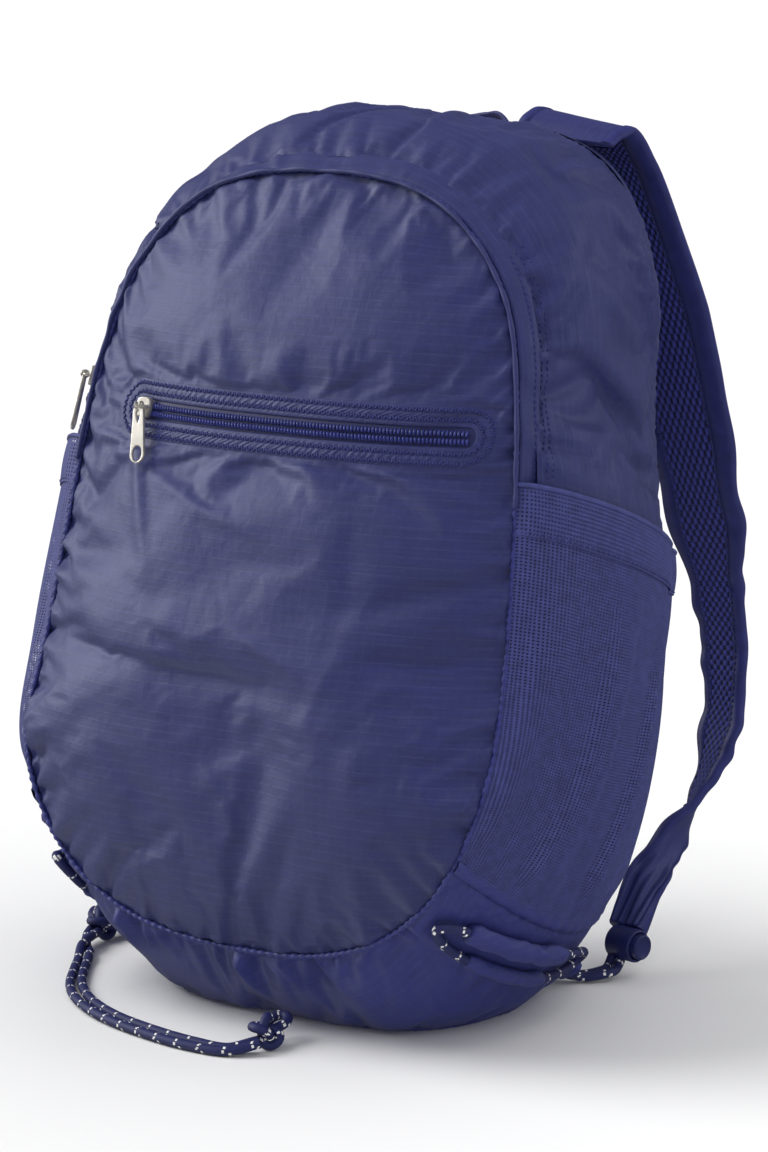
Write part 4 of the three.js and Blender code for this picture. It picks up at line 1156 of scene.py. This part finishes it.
def main_zip():
    station = np.linspace(FLAP_FROM, LOOP - FLAP_FROM, 620)
    length = run_length(rail(0, station))
    flap = flap_cloth(station, length)
    tape = band_strip(station, *zip(*ZIP_TAPE_STRIP))
    uv = grid_uv(length[:, None], np.array([distance for distance, _ in ZIP_TAPE_STRIP])[None])
    grid_piece("main_zip_tape_cloth", tape, ZIP_TAPE, nodes=["main_zip"], slot="zip", uv=uv)
    wobble = 0.4 * np.sin(length / 6.3 + 2.2 * np.sin(length / 21))
    roll = 1.25 + 0.16 * np.sin(length / 3.1 + 2 * np.sin(length / 17))
    line = seam_line(station, 1.2 + wobble[:, None], 1.0)
    tube_piece("piping_roll", line, roll, NYLON, nodes=["front_piping"])
    arch_stitches(station, flap)


def front_welt():
    """The drawn-up seam that joins the front to the sides and the base."""
    step = 0.85
    line = even(seam_line(np.linspace(0, LOOP, 1800), -0.5, -0.1), step)
    along = np.arange(len(line)) * step
    lump = 0.35 * np.cos(along * 2 * math.pi / 4.6 + 1.6 * np.sin(along / 9)) + 0.22 * np.sin(along / 4.3)
    tube_piece("front_seam_welt", line, 1.2 + lump, NYLON_BASE)


main_zip()
front_welt()


# Side pockets of square mesh

def pocket_point(u, height, extra):
    """A point of a side pocket: gathered at its foot, draped below the hem, pinched at the rear top."""
    foot, top = pocket_span(u)
    station = foot + (top - foot) * height
    low = height / 0.05 * np.exp(-height / 0.09)
    gathers = 1.3 * np.cos(23 * math.pi * u + 2 * np.sin(9 * u)) * low
    wave = np.cos(7.3 * math.pi * (u - 0.22 * height) + 0.7)
    drape = (4.4 * smooth(wave, -0.3, 1.0) - 1.2) * smooth(height, 0.02, 0.2)
    drape = drape * (1 - smooth(height, 0.6, 0.97))
    rear = np.exp(-((u - 0.885) / 0.03) ** 2) - 0.4 * np.exp(-((u - 0.81) / 0.028) ** 2)
    rear = 2.6 * rear * smooth(height, 0.62, 0.9)
    sewn = smooth(u, 0, 0.05) * (1 - smooth(u, 0.95, 1.0))
    lift = CLEAR + 0.25 + pocket_swell(u, height) + (MESH_WALL + extra + gathers + drape + rear) * sewn
    return off_band(station, u, np.maximum(lift, 0.5))


def net_piece(name, node, grid, hole_across, hole_up, sign):
    """A grid of rounded yarns with a hole in each cell."""
    rows, columns = grid.shape[:2]
    a, b, c, d = grid[:-1, :-1], grid[:-1, 1:], grid[1:, 1:], grid[1:, :-1]
    inward = unit(PACK_HEART - (a + c) / 2)
    inner = []
    for s, t in ((-1, -1), (1, -1), (1, 1), (-1, 1)):
        x, y = 0.5 + s * hole_across / 2, 0.5 + t * hole_up / 2
        inner.append((a * (1 - x) + b * x) * (1 - y) + (d * (1 - x) + c * x) * y + inward * 0.45)
    inner = np.stack(inner, axis=2)
    outer = grid_faces(rows, columns)
    first = rows * columns + 4 * np.arange(len(outer))[:, None]
    faces = []
    for k in range(4):
        n = (k + 1) % 4
        faces.append(np.concatenate([outer[:, [k]], outer[:, [n]], first + n, first + k], axis=1))
    points = np.concatenate([grid.reshape(-1, 3), inner.reshape(-1, 3)])
    piece(name, points, outward(points, np.concatenate(faces)), NET, nodes=[node], slot="net", sign=sign)


def even_heights(last, count):
    """Heights at even steps up the middle of a side pocket."""
    height = np.linspace(0, last, 400)
    along = run_length(pocket_point(np.full(400, 0.5), height, 0.0))
    return np.interp(np.linspace(0, along[-1], count), along, height)


def side_pocket(side_name, sign):
    flip = np.array([sign, 1, 1])
    columns, hem_rows = 92, 13
    hem_share = 1 - HEM_HEIGHT / POCKET_HEIGHT
    height, u = np.meshgrid(even_heights(hem_share + 0.01, 122), np.linspace(0, 1, columns), indexing="ij")
    open_share = 1 - 0.8 * smooth(u[:-1, :-1], 0.62, 0.8)[..., None]
    slanted = u + 0.2 * np.sin(math.pi * u) * (height - 0.5)
    net_piece(f"{side_name}_net", f"{side_name}_mesh_pocket", pocket_point(slanted, height, 0.0),
              0.44 * open_share, 0.4 * open_share, sign)
    # The hem: a doubled band of the same net with a rolled top and a stitched lower edge
    height, u = np.meshgrid(np.linspace(hem_share, 1.0, hem_rows), np.linspace(0, 1, columns), indexing="ij")
    bulge = 0.9 * np.sin(math.pi * (height - hem_share) / (1 - hem_share))
    open_share = open_share[:hem_rows - 1]
    net_piece(f"{side_name}_hem_net", f"{side_name}_pocket_hem", pocket_point(u, height, 0.9 + bulge),
              0.4 * open_share, 0.36 * open_share, sign)
    u = np.linspace(0, 0.985, 160)
    top = even(pocket_point(u, np.full_like(u, 1.0), 0.6), 1.0)
    tube_piece(f"{side_name}_hem_roll", top * flip, 1.3, NET, slot="net", sides=8)
    u = np.linspace(0.03, 0.9, 160)
    low = pocket_point(u, np.full_like(u, hem_share + 0.006), 1.1)
    stitches = row_of_stitches(low * flip, unit(low - PACK_HEART) * flip, lift=0.1)
    sew(f"{side_name}_hem_stitches", [stitches], 0.34, slot="net")
    # Binding along the foot
    share = np.linspace(0, 1, 160)
    rows = []
    for shift, lift in FOOT_BINDING:
        ripple = 0.35 * np.sin(share * 83) * (lift > 0.9)
        rows.append(off_band(base_seam(share) + shift, share, lift + ripple))
    strip = np.stack(rows, axis=1)
    grid_piece(f"{side_name}_base_binding", strip, NYLON_BASE, uv=strip[..., 1:].reshape(-1, 2), sign=sign)


for side_name, sign in SIDES:
    side_pocket(side_name, sign)


# Cords

TRACER_PITCH = 14.0


def braid(name, line, nodes, phase):
    """A braided cord with a white tracer yarn that crosses it in slanted rows of dots."""
    sides = 20
    line = even(line, 0.62)
    along = run_length(line)
    turn = full_turn(sides)
    relief = np.cos(5 * turn[None] + 2.1 * along[:, None]) * np.cos(5 * turn[None] - 2.1 * along[:, None])
    points = tube_points(line, CORD_RADIUS * 0.98 + 0.13 * relief, sides).reshape(-1, 3)
    faces = capped(len(line), sides)
    obj = piece(name, points, faces, CORD, nodes=nodes, slot="cord")
    obj.data.materials.append(TRACER)
    slant = 3.2 * (turn + math.pi / sides) / (2 * math.pi)
    middle = (along[:-1] + along[1:]) / 2
    spot = np.mod(middle[:, None] + slant[None] + phase, TRACER_PITCH)
    white = (spot < 1.25) & (np.arange(sides)[None] % 3 < 2)
    index = np.zeros(len(faces), dtype=np.int32)
    index[:white.size] = white.ravel()
    obj.data.polygons.foreach_set("material_index", index)
    return obj


def tab_point(lift):
    return off_band(TAB_STATION, TAB_SHARE, np.array([lift]))[0]


def strap_cord_strand(offset):
    route = [tab_point(4), tab_point(13), np.array([109.5, 103, 5.4])]
    route += [LOCK_CENTRE + along * LOCK_LINE for along in (-14, 0, 15, 19)]
    return spline(np.array(route) + [offset, 0, 0], 0.6)


def side_cord_route():
    station, share, lift = SIDE_CORD.T
    return spline(off_band(SIDE_CORD_STATION + station, share, SIDE_CORD_LIFT + lift), 0.6)


for side_name, sign in SIDES:
    flip = np.array([sign, 1, 1])
    strands = [strap_cord_strand(offset) * flip for offset in (STRAND_HALF, -STRAND_HALF)]
    braid(f"{side_name}_strap_cord_a", strands[0], [f"{side_name}_strap_cord"], 2.0)
    braid(f"{side_name}_strap_cord_b", strands[1], [], 7.0)
    braid(f"{side_name}_side_loop", side_cord_route() * flip, [f"{side_name}_side_cord"], 4.0)


def knot(name, spot, turn, node):
    """A tight overhand knot with a short loop left standing out of it."""
    t = np.linspace(0.25, 2 * math.pi + 0.05, 240)
    lump = [np.sin(t) + 2 * np.sin(2 * t), np.cos(t) - 2 * np.cos(2 * t), -1.15 * np.sin(3 * t)]
    lump = np.stack(lump, axis=1)
    c, s = math.cos(KNOT_TILT), math.sin(KNOT_TILT)
    lump = KNOT_SIZE * lump @ np.array([[1, 0, 0], [0, c, s], [0, -s, c]])
    bend = np.linspace(-0.75 * math.pi, 0.75 * math.pi, 60)
    loop = np.stack([12.5 + 6.0 * np.cos(bend), 4.6 * np.sin(bend), 1.5 + 1.5 * np.cos(bend)], axis=1)
    share = np.linspace(0, 1, 12)[:-1, None]
    start = np.array([3, -2, 0]) * (1 - share) + loop[0] * share
    loop = np.concatenate([start, loop, start[::-1] * [1, -1, 1]])
    lump, loop = (form @ spin(turn) + spot for form in (lump, loop))
    rise = [0, 0, max(0, CORD_RADIUS + 0.25 - min(lump[:, 2].min(), loop[:, 2].min()))]
    return [braid(name, lump + rise, [node], 1.0), braid(f"{name}_loop", loop + rise, [], 5.0)]


near_knot = knot("near_knot", *KNOT_NEAR, "knot_near")
far_knot = knot("far_knot", *KNOT_FAR, "knot_far")


def tail_strand(letter, turn, phase):
    """One strand of the doubled tail: the pair twists once past the near knot, then lies side by side."""
    step = 1.5
    middle = spline(np.array(TAIL_LEAD + [KNOT_NEAR[0]] + TAIL_ROUTE, float), step)
    along = np.arange(len(middle)) * step
    past = along - along[np.argmin(np.linalg.norm(middle - KNOT_NEAR[0], axis=1))]
    left = along[-1] - along
    tangent = tangents(middle)
    beside = unit(np.stack([-tangent[:, 1], tangent[:, 0], 0 * tangent[:, 0]], axis=1))
    above = np.cross(tangent, beside)
    angle = (turn + math.pi * smooth(past, 6, 48))[:, None]
    half = TAIL_HALF + 0.9 * smooth(past, 60, 120) * smooth(left, 8, 50)
    line = middle + (beside * np.cos(angle) + above * np.sin(angle)) * half[:, None]
    line[:, 2] += 2.7 * smooth(past, 6, 20) * (1 - smooth(past, 36, 50))
    line = off_floor(line, CORD_RADIUS + 0.15)
    obj = braid(f"tail_{letter}", line, [f"tail_lead_{letter}", f"tail_cord_{letter}"], phase)


tail_strand("a", 0.0, 8.0)
tail_strand("b", math.pi, 3.0)


# Shoulder straps

def strap_frame(rows, share):
    """Middle, width direction, depth direction, width and thickness of a strap at shares of its length."""
    spots = rows[:, :3]
    step = 1e-3
    before, after = np.maximum(share - step, 0), np.minimum(share + step, 1)
    line = unit(catmull(spots, after, 0) - catmull(spots, before, 0))
    at = share * (len(rows) - 1)
    width, thick, twist = (np.interp(at, np.arange(len(rows)), rows[:, k]) for k in (3, 4, 5))
    wide = unit(np.array([1.0, 0, 0]) - line * line[:, :1])
    turn = np.radians(twist)[:, None]
    wide = wide * np.cos(turn) + np.cross(line, wide) * np.sin(turn)
    return catmull(spots, share, 0), wide, np.cross(line, wide), width, thick


def strap_surface(rows, share, across, inner, lift=0.0):
    """Points of the strap's inner or outer face; across runs from edge to edge, -1 to 1."""
    point, wide, deep, width, thick = strap_frame(rows, share)
    ripple = smooth(share, 0.36, 0.6) * (1 - smooth(share, 0.9, 1.0))
    length = share * STRAP_SPAN
    wave = np.sin(length / 6.1 + 1) + 0.7 * np.sin(length / 4.3 + 2.2 * np.sin(length / 19))
    other = np.sin(length / 7.3) + 0.6 * np.sin(length / 3.9 + 2.0 * np.sin(length / 23 + 1))
    edge = np.abs(across) ** 2.5
    sway = ripple[:, None] * np.where(across > 0, wave[:, None], other[:, None]) * edge[None] * 1.1
    gather = smooth(share, 0.86, 0.98)[:, None] * 1.2 * np.sin(across * 13 + 1)[None]
    gather += smooth(share, 0.8, 0.9)[:, None] * 0.9 * np.sin(across * 5 + length[:, None] / 14)
    squeeze = 1 + ripple * (0.04 * np.sin(length / 6.7 + 2) + 0.05 * np.sin(length / 10.3))
    crown = 1.0 - 0.28 * across[None] ** 4
    facing = 1 if inner else -1
    depth = facing * (thick[:, None] / 2 * crown + lift) + sway + gather
    offset = (across[None] * (width * squeeze)[:, None] / 2)[..., None] * wide[:, None]
    return point[:, None] + offset + depth[..., None] * deep[:, None]


def strap_body(side_name, sign, rows):
    share = np.linspace(0, 1, 260)
    across = np.linspace(-1, 1, 27)
    outer = strap_surface(rows, share, across, False)
    inner = strap_surface(rows, share, across, True)
    rings = np.concatenate([outer, inner[:, ::-1]], axis=1)
    uv = grid_uv((share * STRAP_SPAN)[:, None], np.concatenate([across * 30, across[::-1] * 30])[None])
    obj = piece(f"{side_name}_strap_body", rings.reshape(-1, 3), capped(*rings.shape[:2]), NYLON_STRAP,
                nodes=[f"{side_name}_strap"], slot="strap", uv=uv, sign=sign)


def strap_mesh(side_name, sign, rows):
    """Knitted spacer mesh on the inner face: lens-shaped loops in staggered rows."""
    share = np.linspace(0.012, 0.95, 560)
    across = np.linspace(-0.58, 0.58, 54)
    _, _, deep, width, _ = strap_frame(rows, share)
    x = across[None] * width[:, None] / 2
    y = share[:, None] * STRAP_SPAN
    loops = np.cos(2 * math.pi * x / KNIT_WIDE) * np.cos(2 * math.pi * y / KNIT_LONG)
    knit = strap_surface(rows, share, across, True, 0.25) + (0.3 + 0.7 * loops)[..., None] * deep[:, None]
    piece(f"{side_name}_strap_mesh", knit.reshape(-1, 3), grid_faces(*knit.shape[:2])[:, ::-1], SPACER,
          slot="strap", uv=grid_uv(x, y), sign=sign)


def strap_edge(side_name, sign, rows, edge_name, edge):
    """Binding folded round an edge of the strap, with its row of stitches."""
    share = np.linspace(0, 1, 320)
    strip = np.stack([strap_surface(rows, share, np.array([at * edge]), inside, lift)[:, 0]
                      for at, inside, lift in BINDING_FOLD], axis=1)
    faces = grid_faces(*strip.shape[:2])
    faces = faces if edge < 0 else faces[:, ::-1]
    uv = grid_uv((share * STRAP_SPAN)[:, None], np.arange(len(BINDING_FOLD))[None] * 2.0)
    piece(f"{side_name}_strap_binding_{edge_name}", strip.reshape(-1, 3), faces, BINDING, slot="strap", uv=uv,
          sign=sign)
    seam = strap_surface(rows, share, np.array([0.6 * edge]), True, 1.0)[:, 0]
    _, _, deep, _, _ = strap_frame(rows, share)
    flip = np.array([sign, 1, 1])
    stitches = row_of_stitches(seam * flip, deep * flip, lift=0.0)
    sew(f"{side_name}_strap_stitches_{edge_name}", [stitches], 0.34, "strap")


for side_name, sign in SIDES:
    strap_rows = STRAP_ROWS.copy()
    if sign < 0:
        strap_rows[:, 2] -= LEFT_STRAP_SAG
    strap_body(side_name, sign, strap_rows)
    strap_mesh(side_name, sign, strap_rows)
    strap_edge(side_name, sign, strap_rows, "outer", 1)
    strap_edge(side_name, sign, strap_rows, "inner", -1)


# Cord locks, tabs and tunnels

def cord_lock(side_name, sign):
    out = np.array([math.cos(LOCK_TURN), math.sin(LOCK_TURN), 0])
    centre = LOCK_CENTRE + out * LOCK_SHIFT
    for name, profile, body in (("barrel", BARREL, "pack"), ("button", BUTTON, f"{side_name}_button")):
        points, faces = lathe(np.array(profile) * LOCK_SCALE, centre, out, 48)
        faces = [face[::-1] for face in faces]
        piece(f"{side_name}_lock_{name}", points, faces, PLASTIC, body, [f"{side_name}_toggle_{name}"],
              "plastic", sign=sign)


def corner_tab(side_name, sign):
    sides = 40
    normal = band_normal(TAB_STATION, TAB_SHARE)[0]
    wide = unit(np.array([1.0, 0, 0]) - normal * normal[0])
    high = np.cross(normal, wide)
    turn = full_turn(sides)
    rings = []
    for lift, half_wide, half_high in TAB_RINGS:
        pucker = 1 + 0.05 * np.cos(7 * turn + lift)
        rings.append(tab_point(lift) + (half_wide * np.cos(turn) * pucker)[:, None] * wide
                     + (half_high * np.sin(turn) * pucker)[:, None] * high)
    points = off_floor(np.concatenate(rings), 0.2)
    piece(f"{side_name}_tab_cloth", points, capped(len(rings), sides), NYLON_BASE,
          nodes=[f"{side_name}_corner_tab"], uv=points[:, [0, 2]] * [sign, 1], sign=sign)


def tunnel(side_name, sign):
    """Bunched cloth round both runs of the side cord."""
    rows, sides = 90, 40
    turn = full_turn(sides)[None]
    k = np.arange(rows)[:, None]
    pinched = 0.16 * np.exp(-(k / 3.0) ** 2) + 0.16 * np.exp(-((k - rows + 1) / 3.0) ** 2)
    forms = []
    for rise, first, last, lift, half_high, half_out, phase in TUNNELS:
        share = np.linspace(first, last, rows)
        station = np.full(rows, SIDE_CORD_STATION + rise)
        out = band_normal(station, share)
        high = np.cross(tangents(band_point(station, share)), out)
        middle = off_band(station, share, np.full(rows, lift))
        bunch = 1 + 0.07 * np.sin(4 * turn + 0.09 * k + phase) * np.sin(0.11 * k + phase)
        bunch = bunch + 0.05 * np.sin(k * 0.37 + 2.6 * np.sin(turn + phase) + 1.5 * np.sin(k * 0.13))
        bunch = bunch + 0.04 * np.sin(k * 0.17 + 2 * turn) - pinched
        p = (middle[:, None] + (half_high * bunch * np.cos(turn))[..., None] * high[:, None]
             + (half_out * bunch * np.sin(turn))[..., None] * out[:, None])
        forms.append((p.reshape(-1, 3), capped(rows, sides)))
    points, faces = merged(*forms)
    piece(f"{side_name}_tunnel_cloth", points, faces, NYLON_BASE, nodes=[f"{side_name}_cord_tunnel"],
          uv=points[:, [1, 2]], sign=sign)


for side_name, sign in SIDES:
    cord_lock(side_name, sign)
    corner_tab(side_name, sign)
    tunnel(side_name, sign)


# Haul loop of webbing

def haul_loop():
    line = spline(HAUL_ROUTE, 1.0)
    tangent = tangents(line)
    thick = unit(HAUL_FACE - tangent * (tangent @ HAUL_FACE)[:, None])
    wide = np.cross(tangent, thick)
    p = [line + wide * HAUL_HALF_WIDTH * a + thick * HAUL_HALF_THICK * b for a, b in HAUL_SECTION]
    p = np.stack(p, axis=1)
    uv = grid_uv(np.arange(len(line))[:, None], np.arange(len(HAUL_SECTION))[None] * 1.5)
    faces = capped(len(line), len(HAUL_SECTION))
    piece("haul_webbing", p.reshape(-1, 3), faces, BINDING, nodes=["haul_loop"], slot="webbing", uv=uv)


haul_loop()


# Zip sliders and pulls

def plate(outline, holes, thick, bevel):
    """A plate with rounded edges from closed outlines in its own plane, in millimetres."""
    data = bpy.data.curves.new("plate", "CURVE")
    data.dimensions = "2D"
    data.fill_mode = "BOTH"
    data.extrude = thick / 2 - bevel
    data.bevel_depth = bevel
    data.bevel_resolution = 3
    data.offset = -bevel
    for ring in [outline, *holes]:
        line = data.splines.new("POLY")
        line.points.add(len(ring) - 1)
        level = np.zeros(len(ring))
        line.points.foreach_set("co", np.column_stack([ring, level, level + 1]).ravel())
        line.use_cyclic_u = True
    holder = place("plate", data)
    shown = holder.evaluated_get(bpy.context.evaluated_depsgraph_get())
    mesh = bpy.data.meshes.new_from_object(shown)
    points = np.array([v.co[:] for v in mesh.vertices])
    faces = [list(p.vertices) for p in mesh.polygons]
    bpy.data.objects.remove(holder)
    bpy.data.curves.remove(data)
    bpy.data.meshes.remove(mesh)
    return points, faces


def pull_form():
    """A tapered pull with an oval hole, a drop-shaped hole and two eyes round the slider's bail."""
    arc = np.linspace(math.pi * 1.05, math.pi * 1.95, 30)
    end = np.stack([PULL_END_RADIUS * np.cos(arc), PULL_END + PULL_END_RADIUS * np.sin(arc)], axis=1)
    outline = np.concatenate([end, PULL_EDGE, PULL_TOP, PULL_EDGE[::-1] * [-1, 1]])
    turn = full_turn(40)
    hole = np.stack([2.9 * np.cos(turn), -25.2 + 4.1 * np.sin(turn)], axis=1)
    drop = np.concatenate([PULL_DROP, PULL_DROP[-2:0:-1] * [-1, 1]])
    forms = [plate(outline, [hole, drop], 1.5, 0.4)]
    turn = full_turn(24)
    eye = np.stack([np.zeros(24), PULL_EYE * np.cos(turn), PULL_EYE * np.sin(turn)], axis=1)
    eye = np.concatenate([eye, eye[:1]])
    for x in (-1.5, 1.5):
        ring = tube_points(eye + [x, 0, 0], 0.5, 10)
        forms.append((ring.reshape(-1, 3), grid_faces(len(eye), 10, around=True).tolist()))
    return merged(*forms)


def slider_form():
    body, faces = plate(np.concatenate([SLIDER_EDGE, SLIDER_EDGE[::-1] * [-1, 1]]), [], 3.0, 0.7)
    bail_line = spline(SLIDER_BAIL, 0.3)
    bail = tube_points(bail_line, 0.85, 12).reshape(-1, 3)
    nose = lathe(SLIDER_NOSE, np.array([0, 3.4, 2.8]), np.array([0, 0, 1.0]), 20)
    return merged((body + [0, 0, 1.5], faces), (bail, capped(len(bail_line), 12)), nose)


def zip_slider(name, origin, out, up, pull_body, lean):
    across = unit(np.cross(up, out))
    basis = np.stack([across, np.cross(out, across), out])
    points, faces = slider_form()
    points = points @ basis + origin
    piece(f"{name}_slider_metal", points, faces, METAL, nodes=[f"{name}_slider"], slot="metal")
    points, faces = pull_form()
    points = (points @ spin(lean) + [0, 0, BAIL_RISE]) @ basis + origin
    piece(f"{name}_pull_metal", points, faces, METAL, pull_body, [f"{name}_pull"], "metal")


def pocket_slider():
    x = ZIP_X - ZIP_LENGTH / 2 + 5
    up = unit(np.array([0, float(front_depth(x, ZIP_Z + 8) - front_depth(x, ZIP_Z - 24)), 32]))
    out = np.array([0, -up[2], up[1]])
    origin = front_spot(x, ZIP_Z, 0.4) + out * (CLEAR + 1.2)
    zip_slider("pocket_zip", origin, out, up, "pocket_pull", PULL_LEAN)


def main_slider():
    station = np.array([LOOP - ZIP_FROM - 0.13])
    share = (FLAP_EDGE - 1.5) / band_depth(station)
    out = band_normal(station, share)[0]
    up = (band_point(station - 0.1, share) - band_point(station + 0.1, share))[0]
    origin = off_band(station, share, np.array([MESH_WALL + 3 * CLEAR]))[0]
    zip_slider("main_zip", origin, out, up, "main_pull", 0.0)


pocket_slider()
main_slider()
